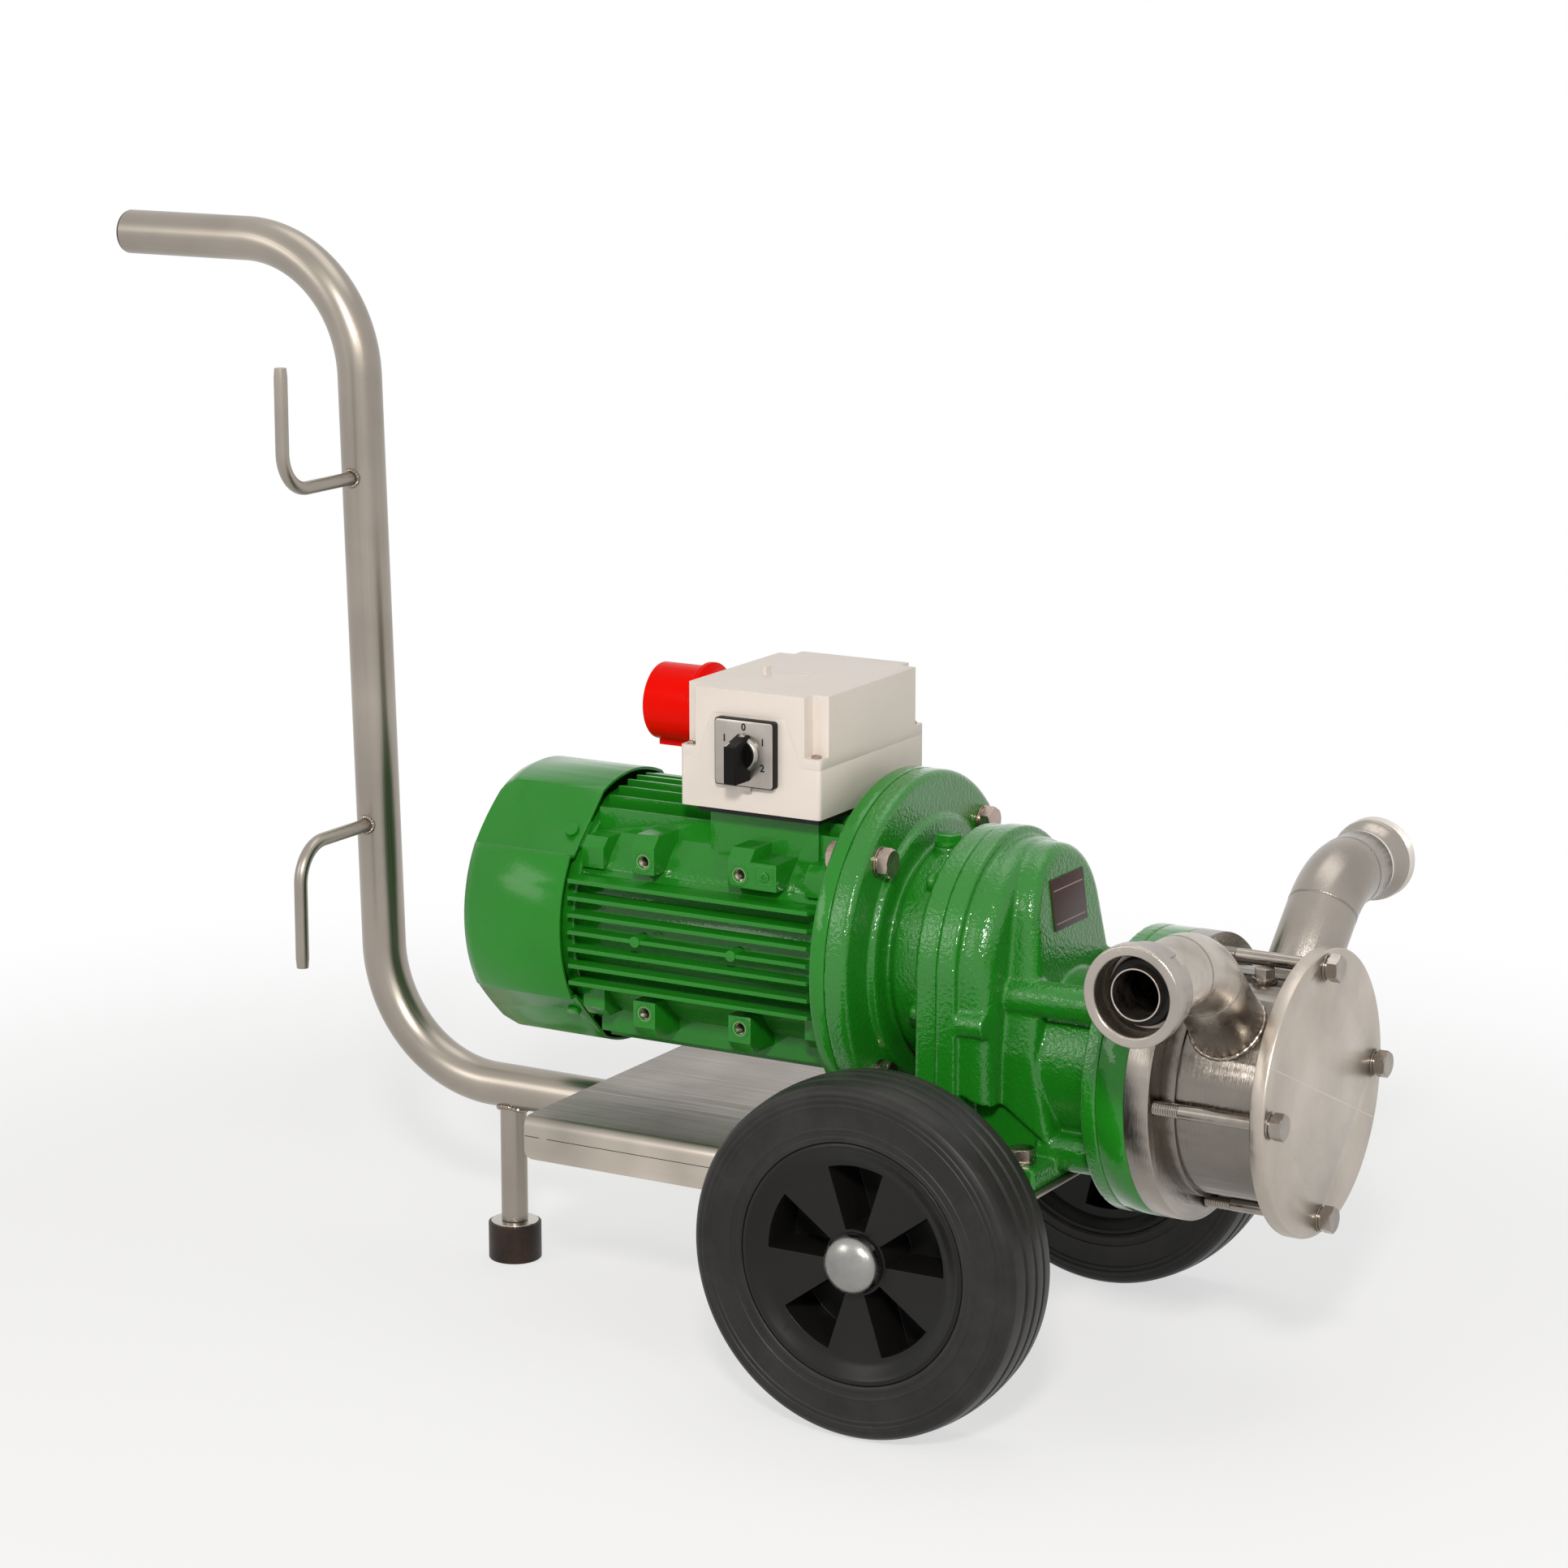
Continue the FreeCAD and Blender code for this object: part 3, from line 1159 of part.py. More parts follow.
# Gears: straight-sided teeth on a blank
def gear(teeth, module, bore, width, phase):
    """A spur gear's solid along +X, its first tooth at the phase angle from +Y."""
    pitch_r = teeth * module / 2
    root_r = pitch_r - 1.25 * module
    tip_r = pitch_r + module
    points = []
    for index in range(teeth):
        middle = math.radians(phase + 360.0 * index / teeth)
        pitch = math.pi * 2 / teeth
        for radius, share in ((root_r, -0.32), (pitch_r, -0.22), (tip_r, -0.12),
                              (tip_r, 0.12), (pitch_r, 0.22), (root_r, 0.32)):
            angle = middle + share * pitch
            points.append(V(0, radius * math.cos(angle), radius * math.sin(angle)))
    points.append(points[0])
    face = Part.Face(Part.makePolygon(points))
    solid = face.extrude(V(width, 0, 0))
    hole = Part.makeCylinder(bore, width + 2, V(-1, 0, 0), V(1, 0, 0))
    return solid.cut(hole)


module = SIZES["gear_module"]
gear_bore = SIZES["output_shaft_r"] + SIZES["fit_gap"]
pinion_bore = SIZES["pinion_bore_r"] + SIZES["fit_gap"]
big = gear(SIZES["wheel_teeth"], module, gear_bore, SIZES["gear_w"], 90.0)
node("output_gear", plain(big, (at(S.gear_back_x), 0, pump_z)))
half_tooth = 180.0 / SIZES["pinion_teeth"]
small = gear(SIZES["pinion_teeth"], module, pinion_bore, SIZES["gear_w"] + 4.0, 270.0 + half_tooth)
node("drive_pinion", plain(small, (at(S.gear_back_x) - 2.0, 0, motor_z)))

shaft_start = S.case_seam_x - S.bearing_w + 1.0
seal_front = S.output_flange_x + S.output_flange_thick + S.adapter_thick + S.back_plate_thick
step_x = S.output_flange_x + S.output_flange_thick
body_front = seal_front + S.body_len
shaft_end = body_front - S.side_gap - 2.0
node("output_shaft", turned([
    (0, 0), (0, S.output_shaft_r), (step_x - shaft_start, S.output_shaft_r),
    (step_x - shaft_start, S.pump_shaft_r), (shaft_end - shaft_start, S.pump_shaft_r),
    (shaft_end - shaft_start, 0),
], (at(shaft_start), 0, pump_z)))
out_race = [(0, S.output_shaft_r + S.fit_gap), (0, S.bearing_r), (S.bearing_w, S.bearing_r),
            (S.bearing_w, S.output_shaft_r + S.fit_gap)]
node("gearbox_bearings", bundle(turned(out_race, (at(S.case_seam_x) - S.bearing_w, 0, pump_z)),
                                turned(out_race, (at(S.case_front_x), 0, pump_z))))

# Pump head: adapter, back plate, body, cover and its long bolts
adapter_x = S.output_flange_x + S.output_flange_thick
node("adapter_flange", turned([
    (0, S.adapter_bore_r), (0, S.head_r), (S.adapter_thick, S.head_r), (S.adapter_thick, S.adapter_bore_r),
], (at(adapter_x), 0, pump_z)))
back_x = adapter_x + S.adapter_thick
back_plate = turned([
    (0, S.seal_r + S.fit_gap), (0, S.head_r), (S.back_plate_thick, S.head_r),
    (S.back_plate_thick, S.seal_r + S.fit_gap),
], (at(back_x), 0, pump_z))
node("back_flange", ring_of_holes(back_plate, S.bolt_pcd_r, S.bolt_r, S.bolt_count))
groove = S.ring_section_r + S.seat_gap
near_corner = S.near_port_z - pump_z
far_corner = S.far_port_z - pump_z
elbow_cut = S.elbow_r * math.tan(math.radians(22.5))
slant = math.sqrt(0.5)


def port_leg(radius, side, corner, start, finish):
    """A rod on the 45 degree port axis, between two distances from the pump axis."""
    spot = (at(S.port_x), start * slant * side, pump_z + start * slant)
    return primitive("Part::Cylinder", spot, ((1, 0, 0), -45 * side), Radius=radius, Height=finish - start)


barrel = turned([
    (0, S.body_bore_r), (0, S.step_r), (S.step_len, S.step_r), (S.step_len, S.body_r),
    (S.body_len, S.body_r), (S.body_len, S.ring_mid_r + groove),
    (S.body_len - groove * 2, S.ring_mid_r + groove), (S.body_len - groove * 2, S.ring_mid_r - groove),
    (S.body_len, S.ring_mid_r - groove),
    (S.body_len, S.body_bore_r),
], (at(seal_front), 0, pump_z))
port_in = S.port_r - S.port_wall
vent_seat = root(S.body_r * S.body_r - S.vent_y * S.vent_y)
vent_hole = rod(S.vent_r, S.body_r, (at(S.vent_x), S.vent_y, pump_z), "Z")
node("pump_body", less(barrel, port_leg(port_in, -1, near_corner, S.body_bore_r / 2, S.body_r + 5.0),
                       port_leg(port_in, 1, far_corner, S.body_bore_r / 2, S.body_r + 5.0), vent_hole))
cover = turned([(0, 0), (0, S.cover_r), (S.cover_thick - 1.0, S.cover_r), (S.cover_thick, S.cover_r - 1.0),
                (S.cover_thick, 0)], (at(cover_back), 0, pump_z))
node("front_cover", ring_of_holes(cover, S.bolt_pcd_r, S.bolt_hole_r, S.bolt_count))
cover_bolts = []
for index in range(SIZES["bolt_count"]):
    angle = math.radians(360.0 * index / SIZES["bolt_count"])
    y = S.bolt_pcd_r * math.cos(angle)
    z = pump_z + S.bolt_pcd_r * math.sin(angle)
    cover_bolts.append(join(
        rod(S.bolt_r, cover_front + S.washer_thick - seal_front + S.bolt_grip,
            (at(seal_front) - S.bolt_grip, y, z)),
        hexagon(S.bolt_flats, S.bolt_head, (at(cover_front) + S.washer_thick, y, z))))
    cover_bolts.append(less(rod(S.washer_r, S.washer_thick, (at(cover_front), y, z)),
                            rod(S.bolt_r, S.washer_thick, (at(cover_front), y, z))))
node("cover_bolts", bundle(*cover_bolts))
node("cover_seal", primitive("Part::Torus", (at(body_front) - groove, 0, pump_z), FROM_Z["X"],
                             Radius1=S.ring_mid_r, Radius2=S.ring_section_r))
node("shaft_seal", turned([
    (0, S.pump_shaft_r + S.fit_gap), (0, S.seal_r), (S.seal_len, S.seal_r),
    (S.seal_len, S.pump_shaft_r + S.fit_gap),
], (at(seal_front) - S.seal_len, 0, pump_z)))
vent_z = pump_z + vent_seat
stem = S.body_r - S.body_bore_r - 2.0
vent_parts = join(
    rod(S.vent_boss_r, S.vent_boss_tall * 2, (at(S.vent_x), S.vent_y, vent_z - S.vent_boss_tall), "Z"),
    hexagon(S.vent_flats, S.vent_tall, (at(S.vent_x), S.vent_y, vent_z + S.vent_boss_tall), "Z"))
vent_core = rod(S.body_r, S.body_len, (at(seal_front), 0, pump_z))
node("vent_plug", join(less(vent_parts, vent_core),
                       rod(S.vent_r - S.fit_gap, stem + 2.0, (at(S.vent_x), S.vent_y, vent_z - stem), "Z")))

# Flexible impeller with bulb-tipped blades, and the cam at the top of the chamber
impeller_w = S.body_len - S.side_gap * 2
hub = turned([(0, S.pump_shaft_r + S.fit_gap), (0, S.impeller_hub_r), (impeller_w, S.impeller_hub_r),
              (impeller_w, S.pump_shaft_r + S.fit_gap)], (at(seal_front) + S.side_gap, 0, pump_z))
blades = [hub]
for index in range(SIZES["blade_count"]):
    angle = 360.0 * index / SIZES["blade_count"] + 30.0
    c = math.cos(math.radians(angle))
    s = math.sin(math.radians(angle))
    tip = S.impeller_r - S.tip_r
    blades.append(rod(S.tip_r, impeller_w, (at(seal_front) + S.side_gap, tip * c, pump_z + tip * s)))
    blade = primitive("Part::Box", (at(seal_front) + S.side_gap, 0, pump_z), ((1, 0, 0), angle),
                      Length=impeller_w, Width=tip - S.impeller_hub_r + 4.0, Height=S.blade_thick)
    bind(blade, "Placement.Base.y", (S.impeller_hub_r - 4.0) * c + S.blade_thick / 2 * s)
    bind(blade, "Placement.Base.z", pump_z + (S.impeller_hub_r - 4.0) * s - S.blade_thick / 2 * c)
    blades.append(blade)
node("impeller", join(*blades))
cam_blank = turned([(0, S.cam_in_r), (0, S.body_bore_r), (impeller_w, S.body_bore_r), (impeller_w, S.cam_in_r)],
                   (at(seal_front) + S.side_gap, 0, pump_z))
cam_wedge = primitive("Part::Cylinder", (at(seal_front), 0, pump_z), FROM_Z["X"],
                      Radius=S.body_r, Height=S.body_len)
cam_wedge.Angle = SIZES["cam_angle"]
bind(cam_wedge, "Angle", S.cam_angle)
cam_wedge.Placement.Rotation = (FreeCAD.Rotation(V(1, 0, 0), 270 - SIZES["cam_angle"] / 2)
                                * FreeCAD.Rotation(V(0, 0, 1), 90) * FreeCAD.Rotation(V(1, 0, 0), 90))
node("cam", overlap(cam_blank, cam_wedge))

# Ports: slanted leg, round elbow, level run and coupling


def elbow_pipe(radius, side, height, finish_y, start):
    corner = height - pump_z
    long_leg = corner / slant - elbow_cut
    leg = port_leg(radius, side, corner, start, long_leg)
    bend_y = (corner + elbow_cut) * side
    bend = primitive("Part::Torus", (at(S.port_x), bend_y, height - S.elbow_r), ((0, 1, 0), 90),
                     Radius1=S.elbow_r, Radius2=radius)
    bend.Angle3 = 45
    start_angle = 180 if side > 0 else 135
    bend.Placement.Rotation = FreeCAD.Rotation(V(0, 1, 0), 90) * FreeCAD.Rotation(V(0, 0, 1), start_angle)
    level = rod(radius, finish_y - corner - elbow_cut, (at(S.port_x), bend_y, height), "Y" if side > 0 else "-Y")
    return join(leg, bend, level)


near_shell = elbow_pipe(S.port_r, -1, S.near_port_z, S.near_tube_y, S.body_bore_r)
near_void = elbow_pipe(port_in, -1, S.near_port_z, S.near_tube_y - 4.0, S.body_bore_r - 2.0)
body_core = rod(S.body_r, S.body_len, (at(seal_front), 0, pump_z))
liner_len = S.near_face_y - S.liner_back - S.near_tube_y
lip = 4.5
liner = turned([
    (0, S.liner_bore_r), (0, S.liner_r), (lip + S.seat_gap * 2, S.liner_r), (lip + S.seat_gap * 2, S.collar_r),
    (lip + S.seat_gap * 2 + S.collar_w, S.collar_r), (lip + S.seat_gap * 2 + S.collar_w, S.liner_r),
    (liner_len, S.liner_r), (liner_len, S.liner_bore_r),
], (at(S.port_x), -S.near_tube_y, S.near_port_z), "-Y")
liner_bore = rod(S.liner_bore_r, 6.0, (at(S.port_x), -(S.near_tube_y - 5.0), S.near_port_z), "-Y")
node("near_port", join(less(near_shell, near_void, body_core, liner_bore), liner))
seal_start = lip + S.seat_gap * 2 + S.collar_w
node("liner_seal", turned([
    (0, S.liner_r), (0, S.collar_r - 1.0), (6.0, S.collar_r - 2.5), (6.0, S.liner_r),
], (at(S.port_x), -(S.near_tube_y + seal_start), S.near_port_z), "-Y"))
nut_back = S.near_tube_y + S.seat_gap
nut_len = S.near_face_y - nut_back
nut = turned([
    (0, S.liner_r + S.fit_gap), (0, S.nut_waist_r - 1.5), (1.5, S.nut_waist_r), (nut_len - S.nut_ring_w, S.nut_waist_r),
    (nut_len - S.nut_ring_w, S.nut_r), (nut_len - 1.0, S.nut_r), (nut_len, S.nut_r - 1.0),
    (nut_len, S.nut_thread_r + 1.0), (nut_len - 1.5, S.nut_thread_r), (lip, S.nut_thread_r),
    (lip, S.liner_r + S.fit_gap),
], (at(S.port_x), -nut_back, S.near_port_z), "-Y")
nut_slots = []
for angle in (45, 135, 225, 315):
    c = math.cos(math.radians(angle))
    s = math.sin(math.radians(angle))
    slot = primitive("Part::Box", (at(S.port_x), -S.near_face_y + S.nut_ring_w, S.near_port_z),
                     ((0, 1, 0), -angle), Length=6.0, Width=nut_len, Height=S.nut_slot_w)
    reach = S.nut_waist_r - 3.0
    bind(slot, "Placement.Base.x", at(S.port_x) + reach * c + S.nut_slot_w / 2 * s)
    bind(slot, "Placement.Base.z", S.near_port_z + reach * s - S.nut_slot_w / 2 * c)
    nut_slots.append(slot)
node("union_nut", less(nut, *nut_slots))

far_shell = elbow_pipe(S.port_r, 1, S.far_port_z, S.far_tube_y, S.body_bore_r)
far_void = elbow_pipe(port_in, 1, S.far_port_z, S.far_tube_y - 4.0, S.body_bore_r - 2.0)
far_len = S.far_end_y - S.far_tube_y
thread_start = far_len - S.far_thread_w
fitting = turned([
    (0, S.far_bore_r), (0, S.far_neck_r), (thread_start - S.far_flare_w, S.far_neck_r),
    (thread_start - 1.5, S.far_thread_r), (thread_start, S.far_thread_r), (thread_start, S.far_thread_r - 0.8),
    (thread_start + 1.0, S.far_thread_r), (far_len - 1.5, S.far_thread_r), (far_len, S.far_thread_r - 1.5),
    (far_len, S.far_bore_r),
], (at(S.port_x), S.far_tube_y, S.far_port_z), "Y")
far_bore = rod(S.far_bore_r, 6.0, (at(S.port_x), S.far_tube_y - 5.0, S.far_port_z), "Y")
node("far_port", join(less(far_shell, far_void, body_core, far_bore), fitting))

# Switch box: gasket, base with a raised front tab, lid with screw channels
bx0 = at(S.box_back_x)
bx1 = at(S.box_front_x)
by = S.box_half_y
bz0 = S.box_floor_z
bz1 = bz0 + S.box_seam
bz2 = bz0 + S.box_tall
wall = S.box_wall
switch_z = bz0 + S.switch_up
inlet_z = bz0 + S.inlet_up
node("box_gasket", block((at(S.pad_back_x), -S.pad_half_y, bz0 - S.gasket_thick),
                         (at(S.pad_front_x), S.pad_half_y, bz0)))


def corner_blocks(size, low_z, high_z):
    blocks = []
    for x0, x1 in ((bx0, bx0 + size), (bx1 - size, bx1)):
        for y0, y1 in ((-by, size - by), (by - size, by)):
            blocks.append(block((x0, y0, low_z), (x1, y1, high_z)))
    return blocks


def screw_spots():
    half = S.corner_cut / 2
    return [(x, y) for x in (bx0 + half, bx1 - half) for y in (half - by, by - half)]


tab_points = [
    ((S.tab_low_w - S.tab_top_w) / 2, S.tab_tall), (0, 0), (S.tab_low_w, 0),
    ((S.tab_low_w + S.tab_top_w) / 2, S.tab_tall),
]


def front_tab(grow):
    spot = (at(S.switch_x) - S.tab_low_w / 2, wall - by + grow, bz1)
    return extruded(tab_points, wall + grow * 2, spot, "XZ_Plane")


screw_holes = [rod(S.lid_screw_r, S.box_seam, (x, y, bz0 + wall), "Z") for x, y in screw_spots()]
switch_hole = rod(S.switch_hole_r, wall + 2.0, (at(S.switch_x), 1.0 + wall - by, switch_z), "-Y")
base = rounded(block((bx0, -by, bz0), (bx1, by, bz1)), 3.0, lambda e: along(e, "z"))
base_room = block((bx0 + wall, wall - by, bz0 + wall), (bx1 - wall, by - wall, bz1 + 1.0))
base_shell = join(less(base, base_room), *corner_blocks(S.corner_cut, bz0, bz1))
base_shell = overlap(base_shell, rounded(block((bx0, -by, bz0), (bx1, by, bz1)), 3.0,
                                         lambda e: along(e, "z")))
node("box_base", less(join(base_shell, front_tab(0)), switch_hole, *screw_holes))

lid_outer = rounded(block((bx0, -by, bz1), (bx1, by, bz2)), 3.0, lambda e: along(e, "z"))
lid_blank = less(lid_outer, *corner_blocks(S.corner_cut, bz0 + S.corner_floor, bz2 + 1.0))
lid_room = less(block((bx0 + wall, wall - by, bz1 - 1.0), (bx1 - wall, by - wall, bz2 - wall)),
                *corner_blocks(S.corner_cut + wall, bz1 - 1.0, bz2))
lid_holes = [rod(S.lid_screw_r, S.box_tall, (x, y, bz0 + wall), "Z") for x, y in screw_spots()]
inlet_hole = rod(S.inlet_neck_r - 4.0, wall + 2.0, (bx0 + wall + 1.0, S.inlet_y, inlet_z), "-X")
nib = block((at(-184.0), -18.0, bz2 - 1.0), (at(-181.0), -10.0, bz2 + 6.0))
node("box_lid", less(join(lid_blank, nib), lid_room, front_tab(1.0), inlet_hole, *lid_holes))
lid_screws = []
for x, y in screw_spots():
    floor_z = bz0 + S.corner_floor
    lid_screws.append(join(rod(S.lid_head_r, 2.5, (x, y, floor_z), "Z"),
                           rod(S.lid_screw_r - S.fit_gap, 24.0, (x, y, floor_z - 24.0), "Z")))
node("lid_screws", bundle(*lid_screws))

# Rotary switch: square plate, contact block inside, knob on its spindle
half = S.switch_size / 2
sx = at(S.switch_x)
plate_blank = rounded(block((sx - half, -by - S.switch_thick, switch_z - half),
                            (sx + half, -by, switch_z + half)), 2.5, lambda e: along(e, "y"))
spindle_way = rod(S.spindle_r + S.fit_gap, S.switch_thick + 2.0, (sx, 1.0 - by, switch_z), "-Y")
node("switch_plate", less(plate_blank, spindle_way))
block_half = S.block_size / 2
contact = block((sx - block_half, wall - by, switch_z - block_half + 6.0),
                (sx + block_half, wall + S.block_depth - by, switch_z + block_half - 6.0))
spindle_room = rod(S.spindle_r + S.fit_gap, 12.0, (sx, wall + 10.0 - by, switch_z), "-Y")
node("switch_block", less(contact, spindle_room))
knob_y = -by - S.switch_thick - S.seat_gap
disc = rod(S.knob_disc_r, S.knob_disc_thick, (sx, knob_y, switch_z), "-Y")
pointer = extruded([(0, 0), (S.knob_disc_r * 1.3, 0), (S.knob_disc_r * 0.65, S.knob_disc_r * 0.75)],
                   S.knob_disc_thick, (sx - S.knob_disc_r * 0.65, knob_y, switch_z + S.knob_disc_r * 0.72),
                   "XZ_Plane")
lever = block((sx - S.lever_w / 2, knob_y - S.lever_proud, switch_z - S.lever_down),
              (sx + S.lever_w / 2, knob_y, switch_z + S.lever_up))
lever = rounded(lever, 2.0, lambda e: along(e, "y") or along(e, "x") and e.BoundBox.YMax < -90)
spindle = rod(S.spindle_r, S.switch_thick + wall + 8.0 + S.seat_gap, (sx, knob_y, switch_z), "Y")
node("switch_knob", join(disc, pointer, lever, spindle))

# Inlet: round shroud with a key, a collar and a neck screwed to the lid wall, pins on its floor
inlet_len = S.box_back_x - S.inlet_face_x
shroud = turned([
    (0, 0), (0, S.inlet_neck_r), (4.0, S.inlet_neck_r), (10.0, S.inlet_r - 2.0), (12.0, S.inlet_collar_r),
    (16.0, S.inlet_collar_r), (18.0, S.inlet_r), (inlet_len, S.inlet_r), (inlet_len, S.inlet_r - S.inlet_wall),
    (S.inlet_floor, S.inlet_r - S.inlet_wall), (S.inlet_floor, 0),
], (bx0, S.inlet_y, inlet_z), "-X")
key = block((at(S.inlet_face_x), S.inlet_y - 5.0, inlet_z - S.inlet_r - 4.0),
            (at(S.inlet_face_x) + 22.0, S.inlet_y + 5.0, inlet_z - S.inlet_r + 1.0))
pins = []
for index in range(SIZES["pin_count"]):
    angle = math.radians(270.0 + 360.0 * index / SIZES["pin_count"])
    y = S.inlet_y + S.pin_circle_r * math.cos(angle)
    z = inlet_z + S.pin_circle_r * math.sin(angle)
    pins.append(rod(S.pin_r, S.pin_len, (bx0 - S.inlet_floor, y, z), "-X"))
node("inlet_plug", join(shroud, key))
node("inlet_pins", bundle(*pins))

# Check every object, then write one file for each sub-part
doc.recompute()
faults = [item.Name for item in doc.Objects if "Invalid" in item.State or "Error" in item.State]
for item in nodes:
    if item.Shape.isNull() or not item.Shape.isValid() or not item.Shape.Solids:
        faults.append(item.Label)
if faults:
    raise RuntimeError("failed objects: " + ", ".join(faults))
os.makedirs("parts", exist_ok=True)
for item in nodes:
    item.Shape.exportStep("parts/%s.step" % item.Label)
print("%d sub-parts written" % len(nodes))
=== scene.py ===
import math
import bmesh
import bpy
import numpy as np
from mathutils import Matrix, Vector
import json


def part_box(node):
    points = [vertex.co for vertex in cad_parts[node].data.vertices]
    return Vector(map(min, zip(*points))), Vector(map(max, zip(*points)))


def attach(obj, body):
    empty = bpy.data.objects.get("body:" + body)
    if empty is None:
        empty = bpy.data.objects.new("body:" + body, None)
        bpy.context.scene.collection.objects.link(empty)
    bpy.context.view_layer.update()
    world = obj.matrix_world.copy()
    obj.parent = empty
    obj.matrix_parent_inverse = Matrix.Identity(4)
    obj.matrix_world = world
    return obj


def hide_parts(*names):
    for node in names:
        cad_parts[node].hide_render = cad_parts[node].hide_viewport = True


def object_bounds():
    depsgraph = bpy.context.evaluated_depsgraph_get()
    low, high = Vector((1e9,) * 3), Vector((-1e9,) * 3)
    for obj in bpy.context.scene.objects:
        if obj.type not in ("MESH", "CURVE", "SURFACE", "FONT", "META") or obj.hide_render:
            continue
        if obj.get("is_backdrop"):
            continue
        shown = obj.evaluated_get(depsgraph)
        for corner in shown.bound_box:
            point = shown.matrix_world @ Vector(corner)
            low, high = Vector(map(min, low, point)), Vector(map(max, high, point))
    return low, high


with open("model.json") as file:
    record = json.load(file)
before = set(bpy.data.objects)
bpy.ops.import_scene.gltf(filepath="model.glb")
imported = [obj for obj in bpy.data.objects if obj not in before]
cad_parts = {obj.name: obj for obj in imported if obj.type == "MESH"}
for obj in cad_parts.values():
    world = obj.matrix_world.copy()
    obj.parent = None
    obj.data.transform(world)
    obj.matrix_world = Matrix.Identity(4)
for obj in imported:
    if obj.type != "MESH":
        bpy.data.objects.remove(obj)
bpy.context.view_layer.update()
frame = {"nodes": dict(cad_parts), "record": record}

# Studio: a pale floor under a plain pale sky, a soft key lamp above the photographer's
# camera, and weaker lamps on its right, on its left and overhead.
scene = bpy.context.scene
scene.view_settings.view_transform = "Standard"
lens = bpy.data.cameras.new("studio_camera")
lens.lens = 102.80
lens.sensor_width = 36.0
camera = bpy.data.objects.new("studio_camera", lens)
camera.location = (1.64025, -2.7055, 1.0780)
aim = Vector((0.07185, 0.0, 0.39333)) - camera.location
camera.rotation_euler = aim.to_track_quat("-Z", "Y").to_euler()
scene.collection.objects.link(camera)
scene.camera = camera


def feed(node, inputs):
    """Links each input whose value is another node's socket, and sets the others."""
    for name, value in inputs.items():
        if isinstance(value, bpy.types.NodeSocket):
            node.id_data.links.new(value, node.inputs[name])
        else:
            node.inputs[name].default_value = value


def wire(tree, kind, inputs, **settings):
    """Adds a shader node, sets its properties and feeds its inputs."""
    made = tree.nodes.new("ShaderNode" + kind)
    for name, value in settings.items():
        setattr(made, name, value)
    feed(made, inputs)
    return made


def maths(tree, operation, *values):
    """The result of a maths node on one or more values."""
    return wire(tree, "Math", dict(enumerate(values)), operation=operation).outputs[0]


def seen_white(tree):
    """1 on the rays that show the white paper: seen straight, mirrored or through glass."""
    ray = tree.nodes.new("ShaderNodeLightPath").outputs
    mirror = maths(tree, "MAXIMUM", ray["Is Glossy Ray"], ray["Is Transmission Ray"])
    return maths(tree, "MAXIMUM", ray["Is Camera Ray"], mirror)


def paper_mix(tree, share, soft, white, output):
    """Shows white instead of soft, by share."""
    either = wire(tree, "MixShader", {"Fac": share, 1: soft, 2: white})
    feed(tree.nodes[output], {"Surface": either.outputs["Shader"]})


sky = bpy.data.worlds.new("studio_sky")
sky.use_nodes = True
tree = sky.node_tree
soft = tree.nodes["Background"]
feed(soft, {"Color": (1.0, 0.98, 0.96, 1), "Strength": 0.27})
paper = wire(tree, "Background", {"Color": (1, 1, 1, 1), "Strength": 1.0})
paper_mix(tree, seen_white(tree), soft.outputs["Background"], paper.outputs["Background"],
          "World Output")
scene.world = sky

LAMP_AIM = Vector((0, 0, 0.3))
for name, spot, size, power, colour in (
        ("key_lamp", (1.75, -3.1, 2.4), (0.42, 0.42), 81, (1.0, 0.97, 0.93)),
        ("right_lamp", (2.9, -2.3, 1.9), (0.5, 0.5), 11, (1.0, 0.97, 0.94)),
        ("left_lamp", (-1.8, -2.9, 1.8), (1.3, 1.3), 16, (1.0, 0.97, 0.93)),
        ("top_lamp", (0.2, 0.6, 3.0), (2.4, 1.4), 14, (1.0, 0.98, 0.96))):
    data = bpy.data.lights.new(name, "AREA")
    data.shape = "RECTANGLE"
    data.size, data.size_y = size
    data.energy = power
    data.color = colour
    lamp = bpy.data.objects.new(name, data)
    lamp.location = spot
    lamp.rotation_euler = (LAMP_AIM - Vector(spot)).to_track_quat("-Z", "Y").to_euler()
    scene.collection.objects.link(lamp)


def tint(colour, share=1.0):
    """A socket's colour: each channel times share, at most 1."""
    return (*[min(c * share, 1) for c in colour], 1)


def plain_finish(name, colour, metal, rough, **levels):
    """A Principled material with its constants on its own sockets. Gives the material, its
    tree, its shader and the Object coordinates."""
    made = bpy.data.materials.new(name)
    made.use_nodes = True
    tree = made.node_tree
    shader = tree.nodes["Principled BSDF"]
    feed(shader, {"Base Color": tint(colour), "Metallic": metal, "Roughness": rough, **levels})
    return made, tree, shader, wire(tree, "TexCoord", {}).outputs["Object"]


FLOOR_HALF = 60.0
FADE_START, FADE_END, WHITE_NEAR = 0.55, 1.3, 0.64
floor_mesh = bpy.data.meshes.new("floor")
floor_mesh.from_pydata([(FLOOR_HALF * x, FLOOR_HALF * y, 0) for x, y in
                        ((-1, -1), (1, -1), (1, 1), (-1, 1))], [], [(0, 1, 2, 3)])
floor = bpy.data.objects.new("floor", floor_mesh)
floor_white, tree, shader, place = plain_finish("floor_white", (0.93, 0.93, 0.93), 0.0, 0.95)
far = wire(tree, "VectorMath", {0: place}, operation="LENGTH")
fade = wire(tree, "MapRange", {"Value": far.outputs["Value"], "From Min": FADE_START,
                               "From Max": FADE_END, "To Min": WHITE_NEAR},
            interpolation_type="SMOOTHSTEP")
